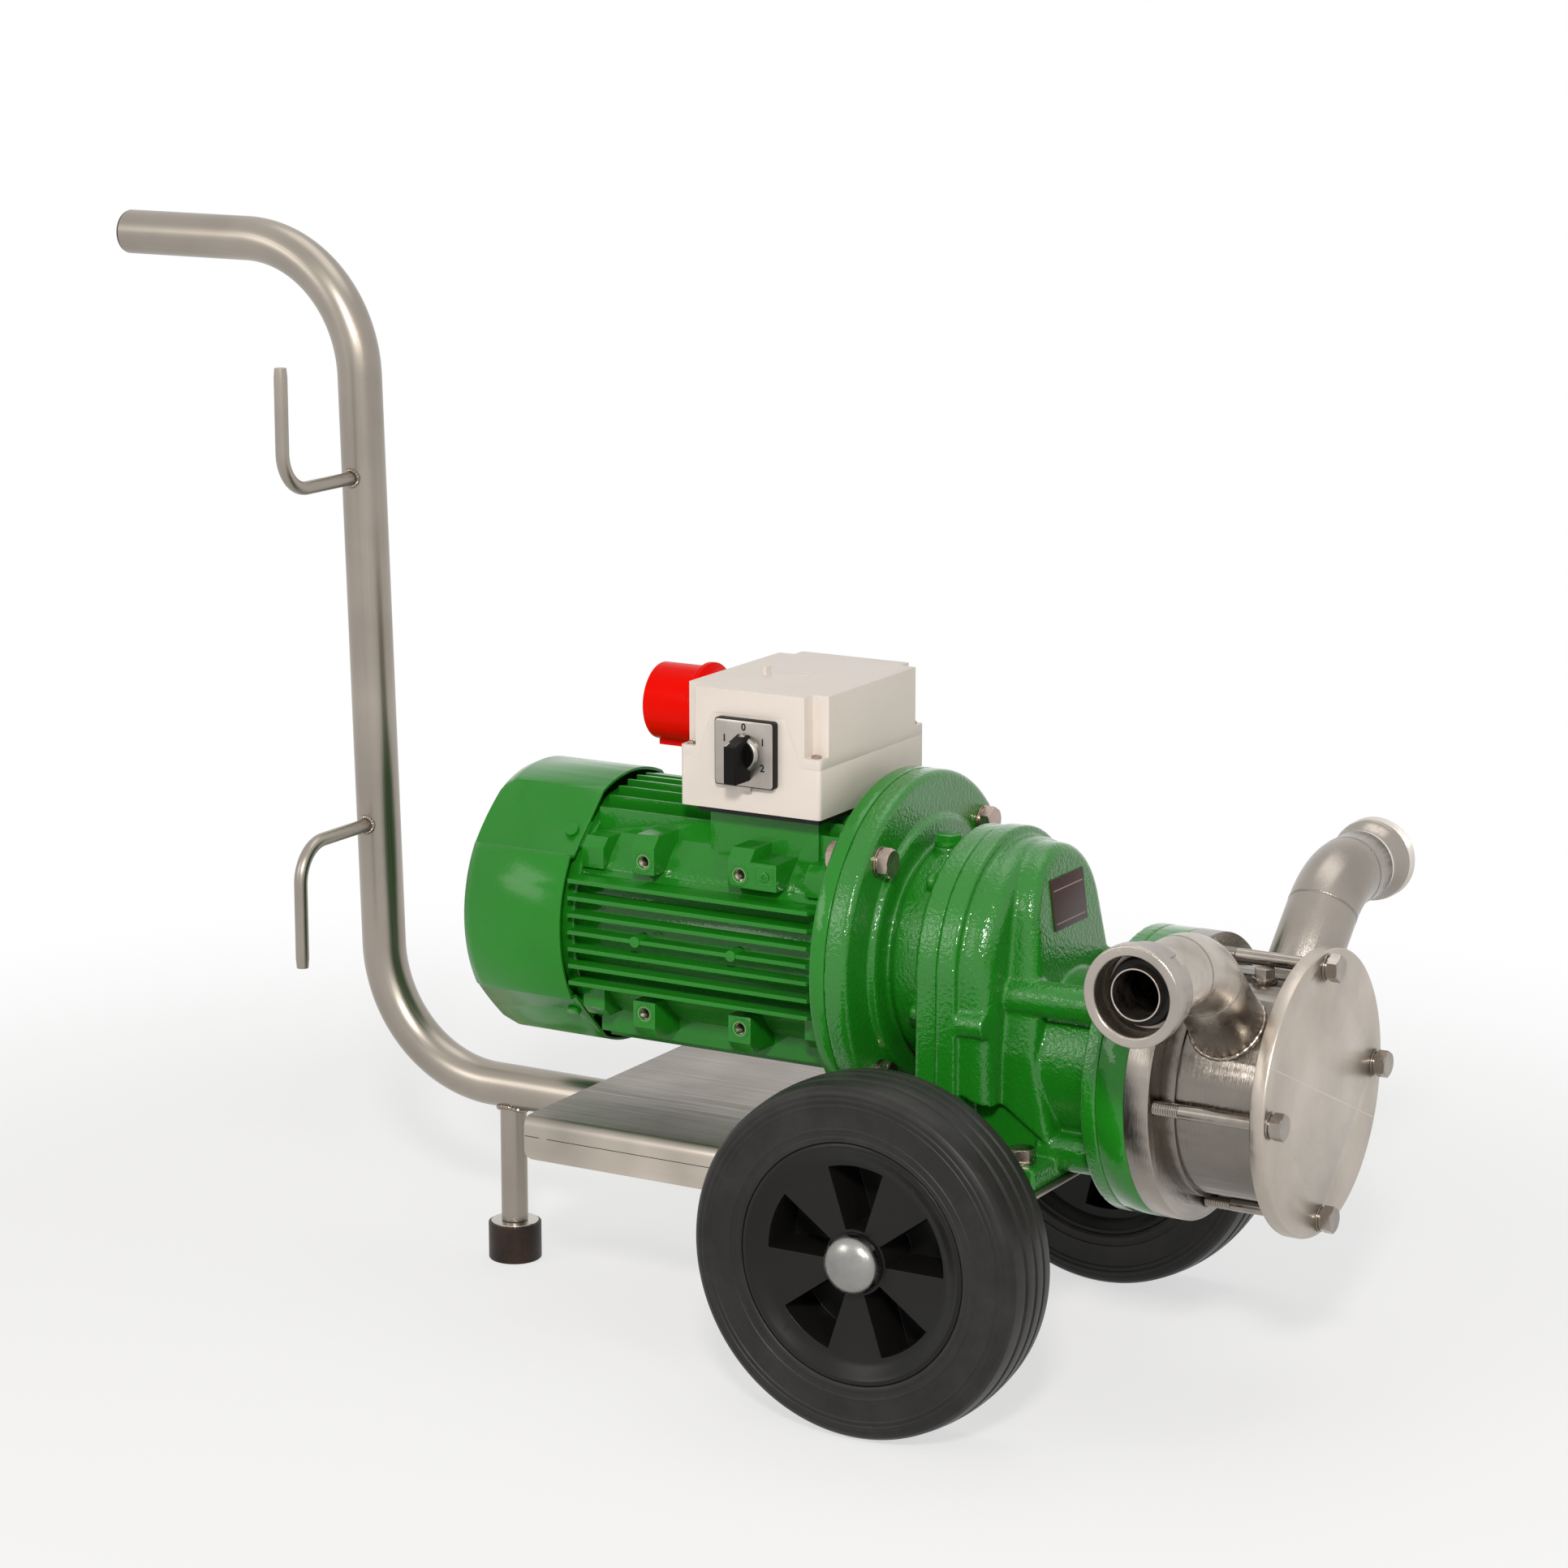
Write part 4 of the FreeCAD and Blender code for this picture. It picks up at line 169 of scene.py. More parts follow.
share = maths(tree, "MULTIPLY", fade.outputs["Result"], seen_white(tree))
white = wire(tree, "Emission", {"Strength": 1.0})
paper_mix(tree, share, shader.outputs["BSDF"], white.outputs["Emission"], "Material Output")
floor_mesh.materials.append(floor_white)
scene.collection.objects.link(floor)
floor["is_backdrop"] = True

# Handle tube: one stainless pipe, 33 mm across, bent twice in one plane and welded
# along the underside of the plate. Its surface is ground lengthways, so it is satin with
# long fine streaks.
AXLE_X = 248.75
IN_X, IN_Y, IN_Z = np.eye(3)
TUBE_R, TUBE_WALL = 16.5, 2.0
TUBE_Z, GRIP_Z = 134.5, 760.5
TURN_R, LEAN = 100.0, 1.6
STEEL = (0.35, 0.312, 0.268)


def placed(name, mesh, material, nodes, body):
    """Makes the mesh one piece of the scene."""
    mesh.materials.clear()
    mesh.materials.append(material)
    piece = bpy.data.objects.new(name, mesh)
    scene.collection.objects.link(piece)
    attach(piece, body)
    if nodes:
        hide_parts(*nodes)
    return piece


def skin(name, sheets, material, nodes=(), body="trolley", sharp=32.0):
    """Makes one piece from sheets of points in millimetres.

    A sheet is (grid, joint). The grid is rows x columns of points, and the quad between
    rows i, i+1 and columns j, j+1 takes those four, with the last column joined to the
    first. The joint is "ring" where the last row meets the first too, "ends" where the
    first and last rows carry flat faces, and "poles" where they have shrunk to points.
    The UV map is (distance along the rows, distance round the columns) in metres.
    """
    spots, faces, maps, start = [], [], [], 0
    for grid, joint in sheets:
        grid = np.asarray(grid, float) * 0.001
        rows, cols = grid.shape[:2]
        number = start + np.arange(rows * cols).reshape(rows, cols)
        step = np.linalg.norm(np.diff(grid, axis=0), axis=2).mean(1)
        along = np.concatenate([[0.0], np.cumsum(step)])
        width = np.linalg.norm(np.roll(grid, -1, axis=1) - grid, axis=2).sum(1).max()
        around = np.linspace(0.0, width, cols + 1)
        if joint == "ring":
            number = np.vstack([number, number[:1]])
            along = np.append(along, along[-1] + np.linalg.norm(grid[0] - grid[-1], axis=1).mean())
        beside = np.roll(number, -1, axis=1)
        quads = np.stack([number[:-1], beside[:-1], beside[1:], number[1:]], -1).reshape(-1, 4)
        low_u, low_v = np.meshgrid(along[:-1], around[:-1], indexing="ij")
        high_u, high_v = np.meshgrid(along[1:], around[1:], indexing="ij")
        corners = np.stack([np.stack([low_u, low_v], -1), np.stack([low_u, high_v], -1),
                            np.stack([high_u, high_v], -1), np.stack([high_u, low_v], -1)], 2)
        faces += quads.tolist()
        maps.append(corners.reshape(-1, 2))
        if joint == "ends":
            faces += [number[0][::-1].tolist(), number[-1].tolist()]
            for flat in (grid[0, ::-1], grid[-1]):
                maps.append(flat[:, :2] + flat[:, 2:])
        spots.append(grid.reshape(-1, 3))
        start += rows * cols
    mesh = bpy.data.meshes.new(name)
    mesh.from_pydata(np.concatenate(spots), [], faces)
    mesh.uv_layers.new(name="UVMap").data.foreach_set("uv", np.concatenate(maps).ravel())
    work = bmesh.new()
    work.from_mesh(mesh)
    bmesh.ops.remove_doubles(work, verts=work.verts, dist=2e-6)
    bmesh.ops.recalc_face_normals(work, faces=work.faces)
    work.to_mesh(mesh)
    work.free()
    mesh.shade_smooth()
    mesh.set_sharp_from_angle(angle=math.radians(sharp))
    return placed(name, mesh, material, nodes, body)


def circle(first, second, steps):
    """Points round a circle: cos q * first + sin q * second."""
    q = np.linspace(0, 2 * np.pi, steps, endpoint=False)[:, None]
    return np.cos(q) * first + np.sin(q) * second


def pipe(path, radius, across, steps=48):
    """A round sheet along a flat path: point = path + radius * (cos q * across + sin q * side),
    where side is the cross product of across and the path's direction."""
    side = np.cross(across, np.gradient(path, axis=0))
    side /= np.linalg.norm(side, axis=1, keepdims=True)
    return path[:, None] + np.reshape(radius, (-1, 1, 1)) * circle(across, side[:, None], steps)


def bend(centre, radius, first, last, steps, plane):
    """Points on an arc: centre + radius * (cos q, sin q) in the two directions of plane."""
    q = np.radians(np.linspace(first, last, steps))[:, None]
    return centre + radius * (np.cos(q) * plane[0] + np.sin(q) * plane[1])


def run(start, end, steps):
    """Evenly spaced points on a straight line, without its last point."""
    return np.linspace(start, end, steps, endpoint=False)


def noise(tree, place, scale, detail, rough=0.5):
    """Noise from 0 to 1 over a vector socket."""
    return wire(tree, "TexNoise", {"Vector": place, "Scale": scale, "Detail": detail,
                                   "Roughness": rough}).outputs["Fac"]


def remap(tree, value, low, high, start=0.0, end=1.0):
    """Maps value from start..end to low..high and stops there."""
    return wire(tree, "MapRange", {"Value": value, "From Min": start, "From Max": end,
                                   "To Min": low, "To Max": high}).outputs["Result"]


def blend(tree, share, first, second):
    """A colour between first and second, by share."""
    return wire(tree, "MixRGB", {"Fac": share, "Color1": first, "Color2": second}).outputs["Color"]


def relief(tree, height, strength, distance):
    """The normal of a surface raised by distance metres where height is 1."""
    return wire(tree, "Bump", {"Height": height, "Strength": strength,
                               "Distance": distance}).outputs["Normal"]


def steel(shader, colour, rough, streak, patch, dark, light, strength, grain):
    """Feeds a steel: streak noise moves its roughness and height, patch noise its colour
    between dark and light times colour."""
    tree = shader.id_data
    feed(shader, {
        "Roughness": remap(tree, streak, max(rough - 0.08, 0.05), rough + 0.1, 0.3, 0.7),
        "Base Color": blend(tree, remap(tree, patch, 0, 1, 0.34, 0.66), tint(colour, dark),
                            tint(colour, light)),
        "Normal": relief(tree, streak, strength, grain)})


def ground_steel(name, colour, rough, stretch, grain=0.00002, cloud=9.0, clean=0.93, source="Object"):
    """Ground metal: fine streaks, which are noise at stretch, one scale or one for each
    direction of the source coordinates, and soft clouds that reach from clean upwards."""
    made, tree, shader, place = plain_finish(name, colour, 1.0, rough)
    scaled = wire(tree, "Mapping", {"Vector": wire(tree, "TexCoord", {}).outputs[source],
                                    "Scale": np.broadcast_to(stretch, 3)})
    streak = noise(tree, scaled.outputs["Vector"], 1.0, 5.0, 0.7)
    patch = noise(tree, place, cloud, 3.0, 0.55)
    steel(shader, colour, rough, streak, patch, clean * 0.93, 1.1, 0.35, grain)
    return made


tube_steel = ground_steel("tube_steel", STEEL, 0.32, (3.0, 700.0, 1.0), source="UV")
lean = math.radians(LEAN)
level = np.array([math.cos(lean), 0, math.sin(lean)])
upward = np.array([-math.sin(lean), 0, math.cos(lean)])
low_start = np.array([AXLE_X - 428.7, 0, TUBE_Z])
low_turn = low_start + TURN_R * IN_Z
low_end = low_turn - TURN_R * level
top_z = GRIP_Z - TURN_R + TURN_R * math.sin(lean)
top_end = low_end + (top_z - low_end[2]) / math.cos(lean) * upward
top_turn = top_end - TURN_R * level
route = np.concatenate([
    run((AXLE_X - 25, 0, TUBE_Z), low_start, 30),
    bend(low_turn, TURN_R, 270, 180 + LEAN, 40, (IN_X, IN_Z))[:-1],
    run(low_end, top_end, 30),
    bend(top_turn, TURN_R, LEAN, 90, 40, (IN_X, IN_Z))[:-1],
    np.linspace((top_turn[0], 0, GRIP_Z), (AXLE_X - 750.5, 0, GRIP_Z), 12)])
outer = pipe(route, TUBE_R, IN_Y)
inner = pipe(route, TUBE_R - TUBE_WALL, IN_Y)
skin("handle_pipe", [(np.concatenate([outer, inner[::-1]]), "ring")], tube_steel,
     ["handle_tube"])

# End cap: a black plastic plug pressed into the grip's end. Its head is a low dome as
# wide as the tube.


def axes(axis):
    """The axis's direction and two across it. "-X" is the X axis turned round."""
    ahead, first, second = np.roll(np.eye(3), -"XYZ".index(axis[-1]), axis=0)
    return (-ahead, first, -second) if axis[0] == "-" else (ahead, first, second)


def turned(outline, centre, axis="X", steps=96):
    """Turns an outline of (distance along the axis, radius) round the axis:
    point = centre + distance * axis + radius * (cos q * first + sin q * second)."""
    ahead, first, second = axes(axis)
    along, radius = np.asarray(outline, float).T[..., None, None]
    return np.asarray(centre, float) + along * ahead + radius * circle(first, second, steps)


def eased(outline, radius, steps=4, shut=False):
    """Rounds the corners of an outline. A corner P between neighbours A and B becomes the
    curve (1-t)^2 A' + 2t(1-t) P + t^2 B', where A' and B' lie on its sides, radius away
    or 0.45 of the shorter side. An open outline keeps its two ends."""
    outline = np.asarray(outline, float)
    before = np.roll(outline, 1, axis=0) - outline
    after = np.roll(outline, -1, axis=0) - outline
    long_a = np.linalg.norm(before, axis=1)
    long_b = np.linalg.norm(after, axis=1)
    back = np.minimum(radius, 0.45 * np.minimum(long_a, long_b))
    if not shut:
        back[[0, -1]] = 0
    first = outline + before / np.maximum(long_a, 1e-9)[:, None] * back[:, None]
    last = outline + after / np.maximum(long_b, 1e-9)[:, None] * back[:, None]
    t = np.linspace(0, 1, steps + 1)[None, :, None]
    curve = (1 - t) ** 2 * first[:, None] + 2 * t * (1 - t) * outline[:, None] + t ** 2 * last[:, None]
    curve = curve.reshape(-1, 2)
    keep = np.append(True, np.linalg.norm(np.diff(curve, axis=0), axis=1) > 1e-6)
    return curve[keep]


def moulded_plastic(name, colour, rough, grain=0.00003, scale=900.0, shine=0.2):
    """Moulded plastic: a fine even grain and slightly uneven gloss, with shine as its
    mirror share."""
    made, tree, shader, place = plain_finish(name, colour, 0.0, rough, **{"Specular IOR Level": shine})
    wide = noise(tree, place, 22.0, 3.0)
    feed(shader, {"Roughness": remap(tree, wide, max(rough - 0.07, 0.04), rough + 0.07),
                  "Base Color": blend(tree, wide, tint(colour, 0.94), tint(colour, 1.05)),
                  "Normal": relief(tree, noise(tree, place, scale, 2.0), 0.4, grain)})
    return made


black_cap = moulded_plastic("black_cap", (0.012, 0.011, 0.011), 0.38)
cap_outline = eased([(0, 0), (0, 12.5), (0.8, 15.6), (3, 16.5), (3, 14.4), (20, 14.0), (20, 0)], 1.6)
skin("grip_cap", [(turned(cap_outline, (AXLE_X - 753.5, 0, GRIP_Z), "X", 64), "poles")],
     black_cap, ["handle_end_cap"])

# Cable hooks: two 10 mm stainless bars bent square and welded to the near side of the
# tube. Each weld is a low uneven collar, dressed by hand.
bar_steel = ground_steel("bar_steel", STEEL, 0.32, (4.0, 900.0, 1.0), source="UV")
weld_steel = ground_steel("weld_steel", (0.34, 0.295, 0.25), 0.3, 260.0, 0.0002, 60.0, 0.8)


def saddle(ring, across, away, pipe_r):
    """Lays a ring of points on a round pipe: ring + away * sqrt(pipe_r^2 - c^2), where c is
    the ring's distance across the pipe."""
    return ring + away * np.sqrt(pipe_r ** 2 - (ring @ across) ** 2)[:, None]


def weld_bead(name, loop, outward, size):
    """A weld along a closed loop, half sunk in what it joins: a round bead whose radius is
    size * (1 + 0.16 sin 26q + 0.08 sin(3q + 1) + 0.05 sin 7q)."""
    q = np.linspace(0, 2 * np.pi, len(loop), endpoint=False)
    swell = size * (1 + 0.16 * np.sin(26 * q) + 0.08 * np.sin(3 * q + 1) + 0.05 * np.sin(7 * q))
    heading = np.roll(loop, -1, axis=0) - np.roll(loop, 1, axis=0)
    heading /= np.linalg.norm(heading, axis=1, keepdims=True)
    outward = outward - (outward * heading).sum(1, keepdims=True) * heading
    outward /= np.linalg.norm(outward, axis=1, keepdims=True)
    ring = circle(outward[:, None], np.cross(heading, outward)[:, None], 10)
    grid = loop[:, None] + outward[:, None] * size * 0.35 + swell[:, None, None] * ring
    skin(name, [(grid, "ring")], weld_steel)


BAR_R, BAR_TIP_R, BAR_TURN, BAR_OUT = 5.0, 4.4, 29, 72
hook_bars, hook_roots = [], []
for weld_z, tip, up in ((589.0, 91.0, 1), (326.0, 92.0, -1)):
    weld_x = low_end[0] - (weld_z - low_end[2]) * math.tan(lean)
    root = np.array([weld_x, 0, weld_z])
    turn_at = root - BAR_OUT * IN_Y
    side = root - (BAR_OUT + BAR_TURN) * IN_Y
    line = np.concatenate([
        run(root - 14.0 * IN_Y, turn_at, 10),
        bend(turn_at + BAR_TURN * up * IN_Z, BAR_TURN, 0, 90, 20, (-IN_Z * up, -IN_Y))[:-1],
        np.linspace(side + BAR_TURN * up * IN_Z, side + tip * up * IN_Z, 10)])
    thick = np.full(len(line), BAR_R)
    thick[-1] = BAR_TIP_R
    hook_bars.append((pipe(line, thick, IN_X, 32), "ends"))
    hook_roots.append(root)
skin("hook_bars", hook_bars, bar_steel, ["cable_hooks"])
ring = circle(IN_X, IN_Z, 72)
for which, root in zip(("upper", "lower"), hook_roots):
    weld_bead(which + "_hook_weld", root + saddle(5.6 * ring, IN_X, -IN_Y, TUBE_R),
              0.6 * ring - IN_Y, 1.5)

# Rest: a round post welded under the tube, standing on a rubber buffer with a bright
# steel disc bonded into its top.
FOOT = np.array([AXLE_X - 412.6, 0, 0])
post_outline = [(30.0, 0), (30.0, 9.2), (30.8, 10.0), (121.6, 10.0), (121.6, 0)]
disc_outline = eased([(27.5, 0), (27.5, 18), (30, 18), (30, 0)], 0.5)
buffer_outline = eased([(0, 0), (0, 19), (1, 20), (29, 20), (29, 18.1), (27.3, 18.1), (27.3, 0)],
                       [0, 1, 1, 0.9, 0.6, 0, 0])


def worn_rubber(name, colour, rough, dust, scale):
    """Rubber: dusty patches lighten the colour where noise is high, over a fine grain."""
    made, tree, shader, place = plain_finish(name, colour, 0.0, rough, **{"Specular IOR Level": 0.3})
    tone = wire(tree, "ValToRGB", {"Fac": noise(tree, place, scale, 6.0, 0.65)})
    for element, position, level in zip(tone.color_ramp.elements, (0.42, 0.72), (colour, dust)):
        element.position = position
        element.color = tint(level)
    feed(shader, {"Base Color": tone.outputs["Color"],
                  "Normal": relief(tree, noise(tree, place, 700.0, 3.0), 0.5, 0.00006)})
    return made


foot_rubber = worn_rubber("foot_rubber", (0.014, 0.007, 0.004), 0.42, (0.045, 0.02, 0.010), 45.0)
post_steel = ground_steel("post_steel", STEEL, 0.32, (3.0, 800.0, 1.0), source="UV")
disc_steel = ground_steel("disc_steel", (0.5, 0.47, 0.43), 0.24, 300.0)
skin("rest_post", [(turned(post_outline, FOOT, "Z", 64), "poles")], post_steel,
     ["foot_post"])
ring = circle(IN_X, IN_Y, 96)
weld_bead("post_weld", FOOT + TUBE_Z * IN_Z + saddle(10.3 * ring, IN_Y, -IN_Z, TUBE_R),
          ring - 0.8 * IN_Z, 1.9)
skin("bright_disc", [(turned(disc_outline, FOOT, "Z", 64), "poles")], disc_steel,
     ["foot_disc"])
skin("rubber_buffer", [(turned(buffer_outline, FOOT, "Z", 96), "poles")], foot_rubber,
     ["rubber_foot"])

# Plate: one 3 mm stainless sheet, its long sides bent down into skirts, notched over the
# axle. A scored line runs along the near skirt. The rolled face is matt. Its colour is
# darker on top, painted shade under the motor, and lighter on the skirts, painted light.
plate_steel = ground_steel("plate_steel", (0.42, 0.375, 0.325), 0.42, (10.0, 300.0, 300.0), 0.000008,
                           7.0, 0.7)
# Painted light and shade: the base colour is scaled by height, up on the skirts and down on the top.
SKIRT_Z, SKIRT_PAINTED_LIGHT, TOP_Z, TOP_PAINTED_SHADE = 0.149, 1.45, 0.1535, 0.9
tree = plate_steel.node_tree
shader = tree.nodes["Principled BSDF"]
height = wire(tree, "SeparateXYZ", {"Vector": wire(tree, "TexCoord", {}).outputs["Object"]}).outputs["Z"]
painted_shading = wire(tree, "VectorMath", {0: shader.inputs["Base Color"].links[0].from_socket,
                                  "Scale": remap(tree, height, SKIRT_PAINTED_LIGHT, TOP_PAINTED_SHADE, SKIRT_Z, TOP_Z)},
             operation="SCALE")
feed(shader, {"Base Color": painted_shading.outputs["Vector"]})


def cad_copy(name, node, join_flats):
    """A copy of a CAD node's mesh with its doubles merged."""
    work = bmesh.new()
    work.from_mesh(frame["nodes"][node].data)
    bmesh.ops.remove_doubles(work, verts=work.verts, dist=2e-6)
    if join_flats:
        bmesh.ops.dissolve_limit(work, verts=work.verts, edges=work.edges, angle_limit=math.radians(0.3))
    mesh = bpy.data.meshes.new(name)
    work.to_mesh(mesh)
    work.free()
    return mesh


def dressed(name, node, material, bevel=0.4, steps=2, body="trolley"):
    """A finished copy of a CAD node: flat facets joined, and each edge sharper than 30
    degrees rounded by bevel millimetres."""
    mesh = cad_copy(name, node, True)
    mesh.shade_smooth()
    piece = placed(name, mesh, material, [node], body)
    soften = piece.modifiers.new("soft_edges", "BEVEL")
    soften.width = bevel * 0.001
    soften.segments = steps
    soften.limit_method = "ANGLE"
    soften.angle_limit = math.radians(30)
    soften.harden_normals = True


dressed("base_sheet", "base_plate", plate_steel, 0.5)
score_band = [(139.3, -116.9), (139.3, -117.04), (139.8, -117.04), (139.8, -116.9)]
score = [([[(AXLE_X + x, y, z) for z, y in score_band] for x in ends], "ends")
         for ends in ((-325.0, -313.0), (-306.5, 78.0))]
skin("skirt_score", score, black_cap)
dressed("axle_cheeks", "axle_brackets", plate_steel, 0.6)
dressed("axle_bar", "axle", bar_steel, 0.8)
dressed("spacer_tubes", "axle_spacers", bar_steel, 0.5)

# Wheels: black plastic centres with five windows, bushes, and solid grey-black rubber
# tyres. Each tyre is moulded with fine rings on its sides and three grooves in its tread.
tyre_rubber = worn_rubber("tyre_rubber", (0.011, 0.0103, 0.0095), 0.42, (0.026, 0.0245, 0.0225), 22.0)
satin_black = moulded_plastic("satin_black", (0.009, 0.0085, 0.008), 0.3, 0.00002, 700.0, 0.22)
satin_chrome = ground_steel("satin_chrome", (0.3, 0.295, 0.28), 0.27, 200.0, 0.00003, 40.0)
WHEEL_R, WHEEL_Y, CAP_Y = 125, 188.8, 212.0
tread = []
for middle in (-12.5, 0, 12.5):
    for y, dip in ((middle - 1.6, 0), (middle - 1.1, -1.7), (middle + 1.1, -1.7), (middle + 1.6, 0)):
        tread.append((y, WHEEL_R - 2.6 * (y / 25) ** 2 + dip))
side = [(24.5, 122.6), (27.8, 120.4), (29.3, 117.4), (29.3, 115.0), (30, 114.4), (30, 112.6),
        (29.4, 112.0), (29.4, 110.6), (29.9, 110.1), (29.9, 109.0), (29.3, 108.4), (28.9, 101.0),
        (29.1, 94.6), (29.7, 94.1), (29.7, 92.9), (29.1, 92.4), (28.7, 88.9), (29.2, 88.3),
        (29.2, 86.6), (28.2, 84.4), (26.0, 84.0)]
tyre_outline = eased(tread + side + [(-y, r) for y, r in side[::-1]], 0.7, 3, shut=True)
for way, wheel in ((-1, "near"), (1, "far")):
    body = wheel + "_wheel"
    skin(wheel + "_tyre_moulding",
         [(turned(tyre_outline, (AXLE_X, way * WHEEL_Y, WHEEL_R), "Y", 180), "ring")],
         tyre_rubber, [wheel + "_tyre"], body, 50)
    dressed(body + "_centre", body + "_rim", satin_black, 0.7, 3, body)
    dressed(wheel + "_bush", body + "_bush", black_cap, body=body)
dome = [(0, 0), (0, 20.0), (0.6, 21.0), (3.0, 21.0)]
dome += [(3.0 + 11.8 * math.sin(a), 21.0 * math.cos(a) ** 0.9) for a in np.radians(np.linspace(4, 88, 22))]
dome.append((14.8, 0))
skin("axle_domes", [(turned(dome, (AXLE_X, way * CAP_Y, WHEEL_R), axis, 72), "poles")
                    for way, axis in ((-1, "-Y"), (1, "Y"))], satin_chrome, ["axle_caps"])

# Motor: an aluminium housing with side fins and foot bosses, a pressed steel cowl over
# its fan, and a cast front flange. All of it is sprayed with glossy green enamel, which
# shows the orange peel of thick paint and, on castings, the sand texture underneath.
GREEN = (0.0135, 0.229, 0.012)


def enamel(name, colour, sand, wet, gloss):
    """Enamel under a clear coat of roughness wet and refractive index gloss. Both follow
    one height: fine orange peel, and sand metres of lumps over it where sand isn't 0."""
    made, tree, shader, place = plain_finish(
        name, colour, 0.0, 0.32,
        **{"Specular IOR Level": 0.05, "Coat Weight": 1.0, "Coat IOR": gloss, "Coat Roughness": wet})
    normal = relief(tree, noise(tree, place, 520.0, 1.0), 1.0, 0.00006)
    if sand:
        lumps = wire(tree, "Bump", {"Height": noise(tree, place, 340.0, 2.0, 0.6),
                                    "Normal": normal, "Strength": 1.0, "Distance": sand})
        normal = lumps.outputs["Normal"]
    feed(shader, {"Base Color": blend(tree, noise(tree, place, 14.0, 4.0), tint(colour, 0.86),
                                      tint(colour, 1.14)),
                  "Normal": normal, "Coat Normal": normal})
    return made


sheet_green = enamel("sheet_green", GREEN, 0, 0.16, 1.35)
cast_green = enamel("cast_green", GREEN, 0.00014, 0.04, 1.38)
sand_green = enamel("sand_green", [c * 0.95 for c in GREEN], 0.0006, 0.03, 1.52)
MOTOR_Z = 289.8
dressed("finned_housing", "motor_housing", cast_green, 0.7)
dressed("rear_shield", "rear_end_shield", cast_green, 0.5)
dressed("front_flange", "motor_flange", cast_green, 0.8)
dressed("cowl_pressing", "fan_cowl", sheet_green, 0.5)
dressed("cowl_screw_heads", "cowl_screws", sheet_green, 0.6, 3)
dressed("fan_moulding", "cooling_fan", black_cap, body="rotor")

# Tapped bosses: each has a raised rim round its hole and bare threads inside. The earth
# pad beside one of them has a shallow square frame with a cross-head screw in it.
BOSS_Y = 85.0
rim_outline = eased([(-0.3, 6.3), (0.45, 6.5), (0.45, 7.6), (-0.3, 7.8)], 0.3, 3, shut=True)
teeth = [(-1.4 - 0.6 * step, 4.1 - 0.5 * (step % 2)) for step in range(26)]
lining = [(0.05, 5.3), (0.05, 5.0)] + teeth + [(-17.0, 4.3), (-1.3, 4.35)]
rims, threads = [], []
for y, axis in ((-BOSS_Y, "-Y"), (BOSS_Y, "Y")):
    for x in (-243.0, -164.0):
        for up in (-55.7, 55.7):
            mouth = (AXLE_X + x, y, MOTOR_Z + up)
            rims.append((turned(rim_outline, mouth, axis, 64), "ring"))
            threads.append((turned(lining, mouth, axis, 40), "ring"))


def upright(origin, loop, y):
    """Stands a flat loop of (x, z) at origin, with its plane across the Y axis at y."""
    return origin + np.stack([loop[:, 0], np.full(len(loop), y), loop[:, 1]], -1)


PAD = np.array([AXLE_X - 144.0, 0, MOTOR_Z + 57.3])
pad_frame = []
for inset, lift in ((0, -0.3), (0, 0.27), (0.25, 0.45), (0.75, 0.45), (1.0, 0.27), (1.0, -0.3)):
    a, b = 7.6 - inset, 6.8 - inset
    loop = eased([(-a, -b), (a, -b), (a, b), (-a, b)], 2.2, 5, shut=True)
    pad_frame.append(upright(PAD, loop, -BOSS_Y - lift))
rims.append((pad_frame, "ring"))


def cross_head(seat, ahead, radius, tall):
    """A pan head with a cross cut in it. At share s of its radius its height is
    tall * (sqrt(1 - 0.6 s^2) - 0.5 cut). The cut fades out from 0.12 to 0.19 of the radius
    beside each crossing line and from 0.56 to 0.66 along it."""
    first = np.cross(ahead, IN_X)
    second = np.cross(ahead, first)
    ring = circle(first, second, 72)
    s = np.append(np.linspace(1, 0.03, 26), 0)[:, None]
    beside = s * np.minimum(np.abs(ring @ first), np.abs(ring @ second))
    cut = np.clip((0.19 - beside) / 0.07, 0, 1) * np.clip((0.66 - s) / 0.1, 0, 1)
    height = tall * (np.sqrt(1 - 0.6 * s ** 2) - 0.5 * cut)
    base = np.stack([0 * ring, radius * ring]) - 0.3 * ahead
    top = radius * s[..., None] * ring + height[..., None] * ahead
    return (seat + np.concatenate([base, top]), "poles")


skin("boss_rims", rims, cast_green, sharp=40)
tap_steel = ground_steel("tap_steel", (0.45, 0.41, 0.33), 0.25, 300.0, 0.00001, 60.0)
skin("boss_threads", threads, tap_steel, sharp=20)
skin("earth_screw", [cross_head((AXLE_X - 143.3, -BOSS_Y, MOTOR_Z + 56.7), -IN_Y, 3.6, 1.9)],
     cast_green, sharp=40)

# Gearbox: two iron castings bolted face to face. The case is the hard one, with a
# rim, a leaning arched nose, a flared foot, a snout with lugs and the output flange.
# Edges of a sand casting are round, so each copy is remeshed and smoothed.
CAST_GRID, CAST_ROUNDS, CAST_KEEP = 0.0013, 8, 0.45


